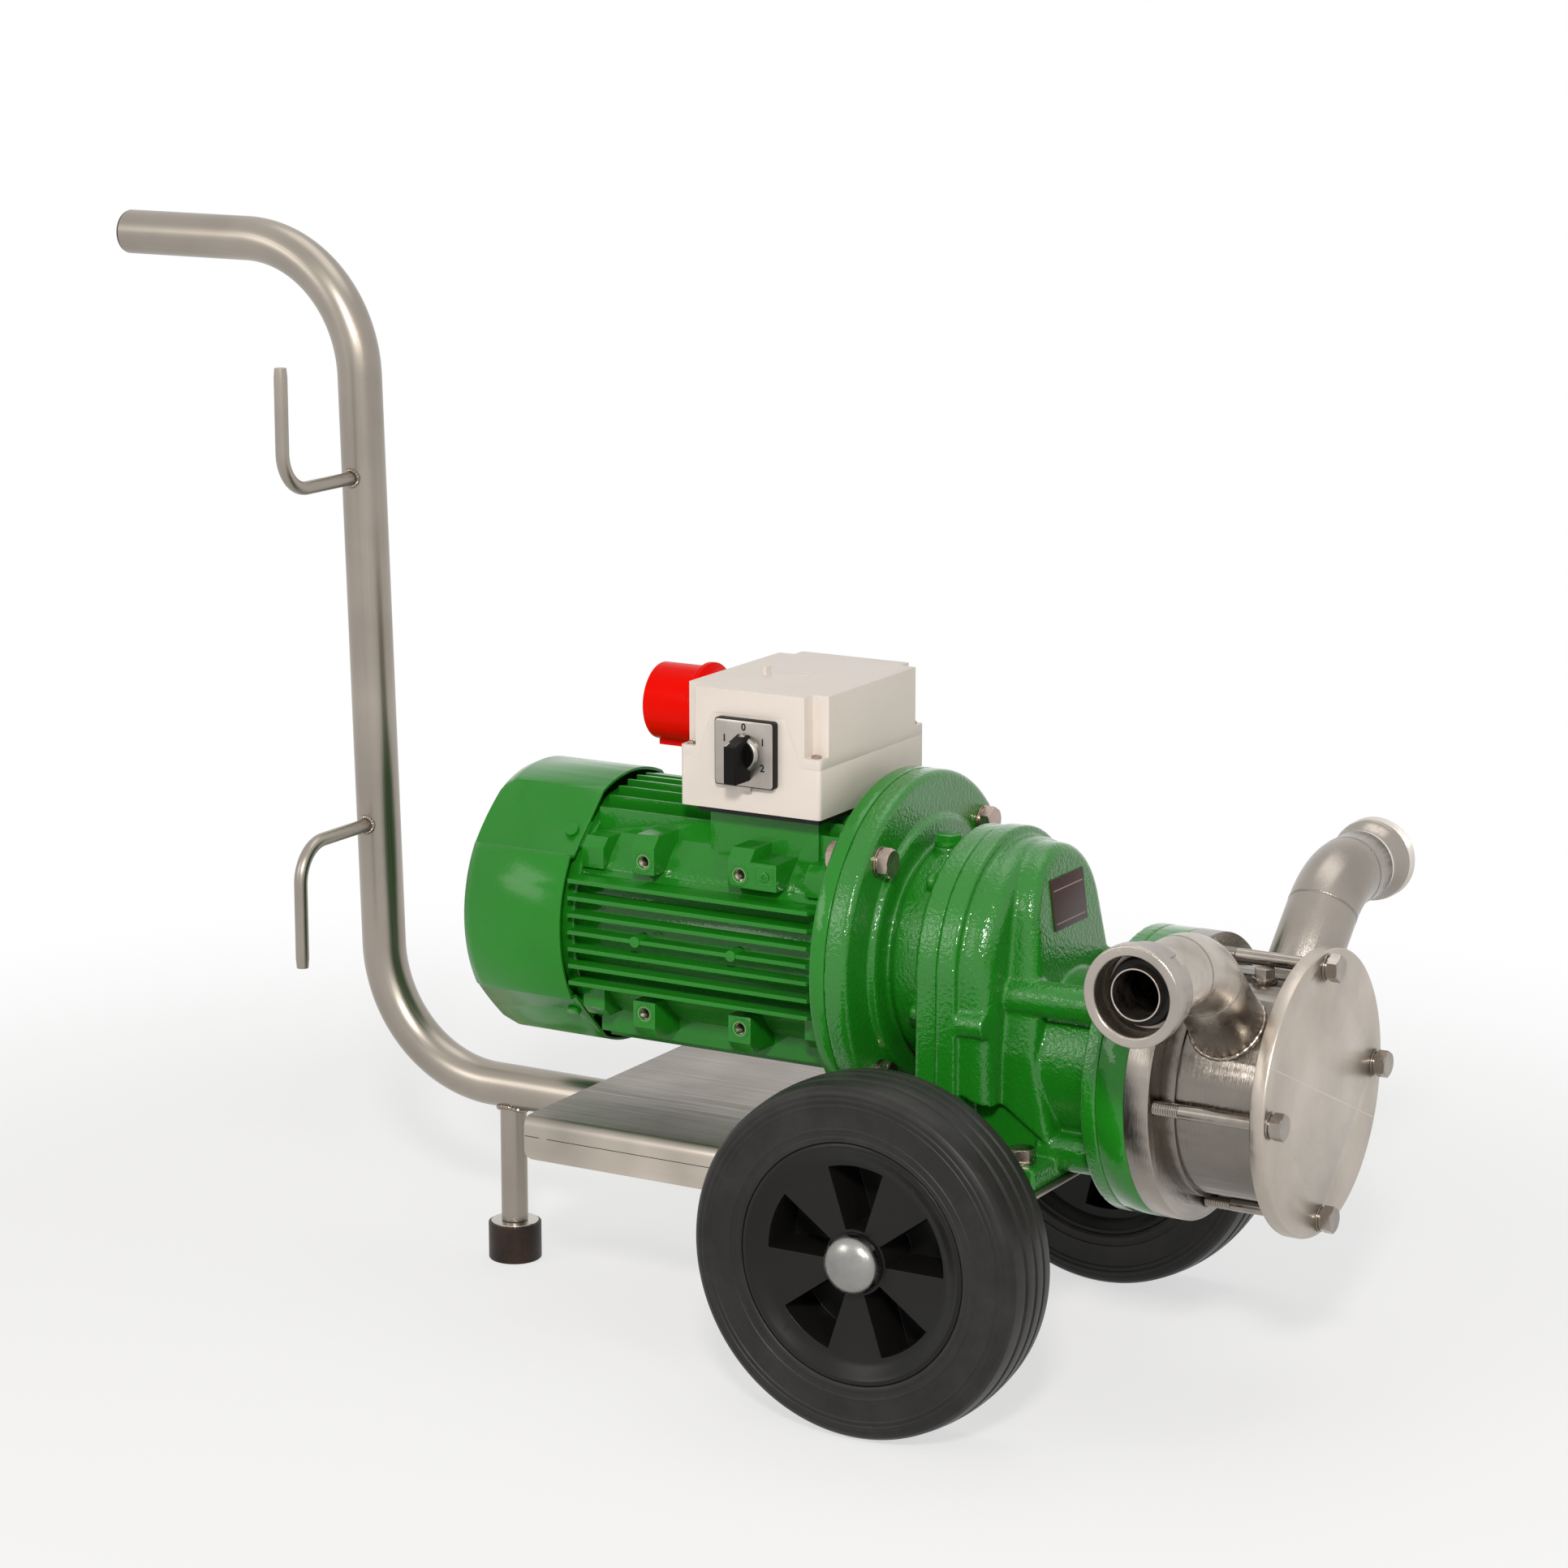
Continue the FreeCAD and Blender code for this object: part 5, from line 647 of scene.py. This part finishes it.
def cast(name, node, material):
    """A sand casting made from a CAD node: remeshed at CAST_GRID metres, smoothed
    CAST_ROUNDS times for soft edges, then thinned to CAST_KEEP of its triangles."""
    rough = bpy.data.objects.new(name + "_rough", cad_copy(name + "_rough", node, False))
    scene.collection.objects.link(rough)
    grid = rough.modifiers.new("grid", "REMESH")
    grid.mode = "VOXEL"
    grid.voxel_size = CAST_GRID
    smooth = rough.modifiers.new("smooth", "SMOOTH")
    smooth.factor = 0.5
    smooth.iterations = CAST_ROUNDS
    thin = rough.modifiers.new("thin", "DECIMATE")
    thin.ratio = CAST_KEEP
    shape = bpy.data.meshes.new_from_object(rough.evaluated_get(bpy.context.evaluated_depsgraph_get()))
    bpy.data.objects.remove(rough)
    shape.name = name
    shape.shade_smooth()
    placed(name, shape, material, [node], "trolley")


cast("case_casting", "gearbox_case", sand_green)
cast("cover_casting", "gearbox_cover", sand_green)

# Bolts and plug of the gearbox: zinc-plated hexagon bolts with washers, warm in tone. The
# nameplate is a thin dark sheet with two pale printed rules and nothing written on it.
zinc = ground_steel("zinc", (0.43, 0.33, 0.29), 0.25, 160.0, 0.00003, 70.0, 0.85)


def hexagon(centre, axis, flats, low, high):
    """A hexagonal prism sheet. At angle q and height h its radius is the smaller of
    flats / 2 / cos(angle to the nearest flat) and the turned chamfer's cone at h."""
    ahead, first, second = axes(axis)
    q = np.linspace(0, 2 * np.pi, 72, endpoint=False)
    flat = flats / 2 / np.cos((q + np.pi / 6) % (np.pi / 3) - np.pi / 6)
    chamfer = flats * 0.055
    rows = np.array([low, low, *(high - chamfer * np.array([1, 0.66, 0.33, 0])), high])
    cone = flats * np.array([0, 500, 0.577, 0.551, 0.522, 0.485, 0])
    radius = np.minimum(flat, cone[:, None])[..., None]
    return (np.asarray(centre) + rows[:, None, None] * ahead + radius * circle(first, second, 72), "poles")


def washer(centre, axis, inner, outer, low, high):
    """A flat washer with slightly rounded edges."""
    edge = min(0.35, (high - low) * 0.3)
    outline = eased([(low, inner), (low, outer), (high, outer), (high, inner)], edge, 3, shut=True)
    return (turned(outline, centre, axis, 56), "ring")


def ridged(centre, axis, radius, low, high, pitch, depth):
    """A threaded rod drawn as rings: its radius is a zigzag between radius - depth and radius."""
    step = np.arange(int((high - low) / pitch) * 2 + 1)
    zigzag = zip(low + step * pitch / 2, radius - depth * (step % 2 == 0))
    outline = [(low, 0), *zigzag, (high, radius - depth), (high, 0)]
    return (turned(outline, centre, axis, 40), "poles")


def bolt_circle(z, radius, angles):
    """The (y, z) places of bolts on a circle round an axis at height z."""
    return [(radius * math.cos(a), z + radius * math.sin(a)) for a in np.radians(angles)]


FLANGE_BOLT_R, FLANGE_FACE, FLANGE_BACK = 107.5, AXLE_X - 56.5, AXLE_X - 85.7
flange_sheets = []
for y, z in bolt_circle(MOTOR_Z, FLANGE_BOLT_R, (45, 135, 225, 315)):
    face, back = (FLANGE_FACE, y, z), (FLANGE_BACK, y, z)
    flange_sheets += [washer(face, "X", 6.2, 11.0, 0, 1.6), washer(face, "X", 6.2, 9.6, 1.6, 3.0),
                      hexagon(face, "X", 19.0, 3.0, 10.5), hexagon(back, "-X", 19.0, 0.0, 9.0),
                      ridged(back, "-X", 6.0, 8.8, 10.0, 1.2, 0.55)]
skin("flange_bolt_set", flange_sheets, zinc, ["flange_bolts"], sharp=25)
FOOT_BOLT_X, FOOT_BOLT_Y, FOOT_TOP_Z = AXLE_X + 58.0, 81, 170.0
foot_sheets = []
for y in (-FOOT_BOLT_Y, FOOT_BOLT_Y):
    spot = (FOOT_BOLT_X, y, FOOT_TOP_Z)
    foot_sheets += [washer(spot, "Z", 5.2, 10.0, 0, 2.0), hexagon(spot, "Z", 17.0, 2.0, 10.0)]
skin("foot_bolt_set", foot_sheets, zinc, ["foot_bolts"], sharp=25)
dressed("filler_plug", "oil_filler_plug", cast_green, 0.6)
HALF_RULE, HALF_WIDTH = 0.0004, 0.022


def ruled_plate(name, ground, ink, levels):
    """A dark printed sheet with two level rules: ink where |z - level| is under HALF_RULE
    and |y| under HALF_WIDTH."""
    made, tree, shader, place = plain_finish(name, ground, 0.0, 0.42, **{"Specular IOR Level": 0.3})
    parts = wire(tree, "SeparateXYZ", {"Vector": place}).outputs
    inside = maths(tree, "LESS_THAN", maths(tree, "ABSOLUTE", parts["Y"]), HALF_WIDTH)
    rules = maths(tree, "MAXIMUM", *[maths(tree, "COMPARE", parts["Z"], level, HALF_RULE)
                                     for level in levels])
    paper = blend(tree, noise(tree, place, 260.0, 3.0), tint(ground, 0.8), tint(ground, 1.25))
    feed(shader, {"Base Color": blend(tree, maths(tree, "MULTIPLY", rules, inside), paper, tint(ink))})
    return made


plate_low, plate_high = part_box("nameplate")
levels = [plate_low[2] + share * (plate_high[2] - plate_low[2]) for share in (0.77, 0.13)]
plate_print = ruled_plate("plate_print", (0.052, 0.022, 0.021), (0.42, 0.3, 0.27), levels)
dressed("blank_nameplate", "nameplate", plate_print, 0.25)

# Pump head: a green adapter ring, a thick stainless back flange, the chamber and its
# turned cover. Lathe marks run round every turned face, and the polish is bright.
PUMP_Z = 225.3
PUMP_AXIS = (0, 0, PUMP_Z)


def lathe_steel(name, colour, rough, centre, axis="X", grain=0.0004):
    """Turned stainless: rings of noise that depend on the radius and on the distance along
    the axis, so the highlight fans out as it does on a lathe-cut face."""
    made, tree, shader, place = plain_finish(name, colour, 1.0, rough)
    shift = wire(tree, "VectorMath", {0: place, 1: np.asarray(centre, float) * 0.001},
                 operation="SUBTRACT")
    parts = wire(tree, "SeparateXYZ", {"Vector": shift.outputs["Vector"]}).outputs
    first, second = {"X": ("Y", "Z"), "Y": ("Z", "X")}[axis]
    flat = wire(tree, "CombineXYZ", {"X": parts[first], "Y": parts[second]})
    radius = wire(tree, "VectorMath", {0: flat.outputs["Vector"]}, operation="LENGTH")
    slow = maths(tree, "MULTIPLY", maths(tree, "ARCTAN2", parts[first], parts[second]), 0.0006)
    where = wire(tree, "CombineXYZ", {"X": radius.outputs["Value"], "Y": parts[axis], "Z": slow})
    rings = noise(tree, where.outputs["Vector"], 2400.0, 4.0, 0.75)
    patch = noise(tree, place, 16.0, 4.0)
    steel(shader, colour, rough, rings, patch, 0.86, 1.12, 0.4, grain)
    return made


head_steel = lathe_steel("head_steel", (0.33, 0.297, 0.262), 0.22, PUMP_AXIS)
dark_steel = lathe_steel("dark_steel", (0.2, 0.18, 0.16), 0.22, PUMP_AXIS, grain=0.0002)
face_steel = lathe_steel("face_steel", (0.5, 0.445, 0.385), 0.34, PUMP_AXIS, grain=0.00012)
bolt_steel = ground_steel("bolt_steel", (0.31, 0.278, 0.245), 0.2, 160.0, 0.00002, 60.0)
dressed("adapter_ring", "adapter_flange", cast_green, 0.8)
dressed("back_disc", "back_flange", head_steel, 0.6)
dressed("chamber", "pump_body", dark_steel, 0.5)
dressed("cover_disc", "front_cover", face_steel, 0.7)
COVER_BOLT_R, COVER_FACE = 88.3, AXLE_X + 245.5
shank = [(17.5, 0), (17.5, 4.3), (18.5, 5.0), (86.0, 5.0), (86.0, 0)]
cover_sheets = []
for y, z in bolt_circle(PUMP_Z, COVER_BOLT_R, (0, 90, 180, 270)):
    start, face = (AXLE_X + 161.4, y, z), (COVER_FACE, y, z)
    cover_sheets += [ridged(start, "X", 5.0, -12.0, 18.0, 1.75, 0.8),
                     (turned(shank, start, "X", 40), "poles"),
                     washer(face, "X", 5.1, 9.5, 0, 1.2), washer(face, "X", 5.1, 8.0, 1.2, 3.0),
                     hexagon(face, "X", 17.0, 3.0, 10.5)]
skin("cover_bolt_set", cover_sheets, bolt_steel, ["cover_bolts"], sharp=25)
dressed("vent_fitting", "vent_plug", bolt_steel, 0.5)

# Ports: pipe elbows welded to the chamber and dressed by hand. The near one carries a
# liner and a swivel nut, the far one a round thread. A low seam marks each end of a bend.
CHAMBER_R, WELD_R, PIPE_R, BEND_R = 79.2, 25.3, 25.05, 62.0
PORT_X, NEAR_PORT_Z, FAR_PORT_Z = AXLE_X + 198.0, 334.0, 344.0
pipe_steel = ground_steel("pipe_steel", (0.5, 0.45, 0.395), 0.3, 90.0, 0.00002, 26.0, 0.8)
port_steel = lathe_steel("port_steel", (0.42, 0.38, 0.338), 0.2, (PORT_X, 0, NEAR_PORT_Z), "Y")
far_steel = lathe_steel("far_steel", (0.33, 0.295, 0.26), 0.25, (PORT_X, 0, FAR_PORT_Z), "Y", 0.00015)
seal_black = moulded_plastic("seal_black", (0.01, 0.01, 0.01), 0.4)
dressed("near_elbow", "near_port", pipe_steel)
dressed("swivel_nut", "union_nut", port_steel, 0.6, 3, "union_nut")
dressed("far_elbow", "far_port", far_steel)
dressed("liner_ring", "liner_seal", seal_black, 0.3)
port_root = np.array([PORT_X, 0, PUMP_Z])
for which, way in (("near", -1), ("far", 1)):
    ahead = (way * IN_Y + IN_Z) / math.sqrt(2)
    beside = (way * IN_Y - IN_Z) / math.sqrt(2)
    ring = WELD_R * circle(IN_X, beside, 144)
    weld_bead(which + "_port_weld", port_root + saddle(ring, beside, ahead, CHAMBER_R),
              ring + 25 * ahead, 1.7)

seam_profile = ((-0.4, -0.9), (0.07, -0.7), (-0.12, 0.0), (0.07, 0.7), (-0.4, 0.9))
seams = []
for way, corner in ((-1, NEAR_PORT_Z - PUMP_Z), (1, FAR_PORT_Z - PUMP_Z)):
    cut = BEND_R * math.tan(math.radians(22.5))
    slope = way * IN_Y + IN_Z
    for spot, ahead in ((slope * (corner - cut / math.sqrt(2)), slope / math.sqrt(2)),
                        (way * (corner + cut) * IN_Y + corner * IN_Z, way * IN_Y)):
        ring = circle(IN_X, np.cross(ahead, IN_X), 144)
        seams.append(([port_root + spot + (PIPE_R + lift) * ring + shift * ahead
                       for lift, shift in seam_profile], "ring"))
skin("elbow_seams", seams, dark_steel, sharp=20)
thread_steel = lathe_steel("thread_steel", (0.66, 0.61, 0.56), 0.24, (PORT_X, 0, FAR_PORT_Z), "Y", 0.0001)
FAR_THREAD = (PORT_X, 184.0, FAR_PORT_Z)
ridges = [(3.4 + 0.62 * step, 28.82 + 0.7 * (step % 2)) for step in range(15)]
collar_ring = eased([(-16.8, 22.6), (-16.8, 24.6), (-13.8, 24.6), (-13.8, 22.6)], 0.6, 3, shut=True)
skin("far_thread", [(turned([(3.0, 28.3), *ridges, (12.4, 28.3)], FAR_THREAD, "Y", 120), "ring"),
                    (turned(collar_ring, FAR_THREAD, "Y"), "ring")],
     thread_steel, sharp=20)

# Painted highlight: one pale hairline runs across the cover's face, 24 degrees down to the far
# side, standing in for the bright fan of a lathe-cut face.
highlight_line_steel = ground_steel("highlight_line_steel", (0.66, 0.61, 0.55), 0.4, 300.0, 0.00001, 40.0)
down = math.radians(24)
slant = math.cos(down) * IN_Y - math.sin(down) * IN_Z
across = math.sin(down) * IN_Y + math.cos(down) * IN_Z
highlight_streak = [[(COVER_FACE, 0, PUMP_Z) + slant * reach + across * w + IN_X * lift
           for w, lift in ((-0.22, -0.1), (-0.22, 0.02), (0.22, 0.02), (0.22, -0.1))]
          for reach in (-98.5, -45.0, 45.0, 98.5)]
skin("cover_highlight_line", [(highlight_streak, "ends")], highlight_line_steel)

# Switch box: light grey moulded plastic with a fine texture, screwed down at four
# corners, on a dark gasket. A black band under the box reaches nearly to its edges: partly
# the gasket's lip, partly painted shade under the box's overhang.
box_grey = moulded_plastic("box_grey", (0.81, 0.735, 0.668), 0.36, 0.00004, 1100.0, 0.35)
dressed("gasket_sheet", "box_gasket", seal_black, 0.3)
# Black band under the box: the gasket's edge and painted shade below the overhang.
edge = [[(AXLE_X + x, y, z) for x, y in ((-205, -71.5), (-107.5, -71.5), (-107.5, 71.5), (-205, 71.5))]
        for z in (385.05, 388.95)]
skin("gasket_and_shade_band", [(edge, "ends")], seal_black)
dressed("box_shell", "box_base", box_grey, 1.7, 3)
dressed("box_cover", "box_lid", box_grey, 1.9, 3)
skin("lid_screw_heads", [cross_head((AXLE_X + x, y, 432.0), IN_Z, 3.6, 2.5)
                         for x in (-211.25, -110.75) for y in (-69.25, 69.25)],
     zinc, ["lid_screws"], sharp=40)
gate = eased([(-0.2, 4.6), (0.22, 4.7), (0.22, 5.3), (-0.2, 5.4)], 0.2, 3, shut=True)
skin("lid_gate_mark", [(turned(gate, (AXLE_X - 159.4, 0.6, 475.0), "Z", 64), "ring")],
     box_grey)

# Rotary switch: a black frame with a silver dial face clipped into it, and a black lever
# on a black hub in a silver collar, whose nose points to the printed figures.
DIAL = np.array([AXLE_X - 162.0, 0.0, 432.0])
switch_silver = ground_steel("switch_silver", (0.42, 0.385, 0.35), 0.34, (1800.0, 60.0, 60.0), 0.00001,
                             30.0)


def prism(levels, corners, radius):
    """Stacks an eased outline along -Y. At each level (y, scale, shift) its points are
    (x, z) * scale + (0, shift), put at that y."""
    loop = eased(corners, radius, 5, shut=True)
    return ([upright(DIAL, loop * scale + (0, shift), y) for y, scale, shift in levels], "ends")


square = [(-24.0, -24.0), (24.0, -24.0), (24.0, 24.0), (-24.0, 24.0)]
tab = [(-6.5, -27.0), (5.0, -27.0), (5.0, -23.0), (-6.5, -23.0)]
skin("switch_frame", [prism([(-75.4, 1, 0), (-80.9, 1, 0), (-81.4, 0.985, 0)], square, 3.0)],
     black_cap, ["switch_plate"], sharp=40)
skin("dial_face", [prism([(-81.2, 0.965, 0), (-81.65, 0.965, 0), (-81.9, 0.95, 0)], square, 2.6),
                   prism([(-78.5, 1, 0), (-80.7, 1, 0), (-81.0, 0.99, -0.2)], tab, 0.6)],
     switch_silver, sharp=40)

FIGURE_TALL, FIGURE_Y = 5.0, -81.95
flat = bmesh.new()
for text, x, z in (("0", 0.0, 18.7), ("1", -15.6, 9.6), ("1", 15.3, 9.2), ("2", 15.0, -9.2)):
    letters = bpy.data.curves.new("dial_numbers", "FONT")
    letters.body = text
    letters.size = FIGURE_TALL / 0.7
    letters.extrude = 0.03
    letters.offset = 0.2
    letters.align_x = "CENTER"
    letters.align_y = "CENTER"
    holder = bpy.data.objects.new("dial_numbers", letters)
    scene.collection.objects.link(holder)
    figure = bpy.data.meshes.new_from_object(holder.evaluated_get(bpy.context.evaluated_depsgraph_get()))
    bpy.data.objects.remove(holder)
    spots = np.empty(len(figure.vertices) * 3)
    figure.vertices.foreach_get("co", spots)
    a, b, c = spots.reshape(-1, 3).T
    laid = np.stack([DIAL[0] + x + a, FIGURE_Y - c, DIAL[2] + z + b], -1)
    figure.vertices.foreach_set("co", (0.001 * laid).ravel())
    flat.from_mesh(figure)
mesh = bpy.data.meshes.new("dial_numbers")
flat.to_mesh(mesh)
flat.free()
placed("dial_numbers", mesh, black_cap, [], "trolley")

collar = eased([(81.95, 0), (81.95, 12.6), (83.6, 12.6), (85.6, 10.9), (86.0, 8.0), (86.0, 0)], 0.5)
nose = [(-9.6, 7.2), (0.0, 15.0), (9.6, 7.2), (0.0, 2.0)]
skin("knob_collar", [(turned(collar, DIAL, "-Y"), "poles"),
                     prism([(-81.95, 1, 0), (-84.6, 0.98, 0.1), (-85.5, 0.88, 0.6)], nose, 1.0)],
     switch_silver, ["switch_knob"], "switch_knob", 35)
LEVER_Y, LEVER_TOP, LEVER_SLOPE = -82.0, 13.6, 0.28
lever_rows = []
for depth in (0, 5, 10, 15, 18.8, 19.4, 19.7):
    soft = max(0.0, depth - 18.6) * 0.55
    wide, low, top = 5.1 - depth * 0.012 - soft, -18.8 + soft, LEVER_TOP - depth * LEVER_SLOPE - soft
    loop = eased([(-wide, low), (wide, low), (wide, top), (-wide, top)], 0.8, 5, shut=True)
    lever_rows.append(upright(DIAL, loop, LEVER_Y - depth))
lever_black = moulded_plastic("lever_black", (0.006, 0.0055, 0.005), 0.28, 0.00001, 900.0, 0.12)
hub = [(85.2, 0), (85.2, 10.4), (86.2, 10.4), (86.6, 10.0), (86.6, 0)]
skin("knob_lever", [(lever_rows, "ends"), (turned(hub, DIAL, "-Y"), "poles")], lever_black,
     body="switch_knob", sharp=40)
notch = [[DIAL + (x, LEVER_Y - depth, LEVER_TOP + 0.02 - depth * LEVER_SLOPE + up)
          for x, up in ((-4.1, -0.3), (-3.1, -0.3), (-3.1, 0.05), (-4.1, 0.05))]
         for depth in (13.0, 18.6)]
skin("knob_pointer", [(notch, "ends")], box_grey, body="switch_knob")
dressed("switch_inside", "switch_block", black_cap)

# Inlet: a red moulded shroud with a key under it and a collar behind, and five brass
# pins inside it.
red_plastic = moulded_plastic("red_plastic", (0.9, 0.004, 0.0004), 0.3, 0.00002, 600.0, 0.05)
pin_metal = ground_steel("pin_metal", (0.7, 0.6, 0.42), 0.28, 200.0, 0.00003, 50.0)
dressed("inlet_shell", "inlet_plug", red_plastic, 0.6, 3)
dressed("inlet_contacts", "inlet_pins", pin_metal, 0.6)

# Inner pieces: gears, shafts, bearings, windings, impeller and seals. They show only
# where a hole lets one look in, and keep their CAD shapes with their own finishes.
core_iron = ground_steel("core_iron", (0.3, 0.29, 0.28), 0.45, (1200.0, 40.0, 40.0), 0.00004, 30.0)
cut_steel = ground_steel("cut_steel", (0.5, 0.48, 0.46), 0.3, 300.0, 0.00003, 50.0)
by_slot = {"gear_steel": cut_steel, "core_iron": core_iron, "seal_rubber": seal_black,
           "stainless_pump": head_steel, "zinc_steel": zinc, "black_plastic": black_cap,
           "green_enamel": cast_green, "cap_chrome": satin_chrome, "stainless_tube": plate_steel,
           "tyre_rubber": tyre_rubber, "wheel_plastic": satin_black, "foot_rubber": foot_rubber,
           "box_plastic": box_grey, "red_plastic": red_plastic, "pin_brass": pin_metal,
           "plate_metal": switch_silver}
for entry in frame["record"]["subparts"]:
    node = frame["nodes"][entry["node"]]
    node.data.materials.clear()
    node.data.materials.append(by_slot[entry["material_slot"]])

low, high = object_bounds()
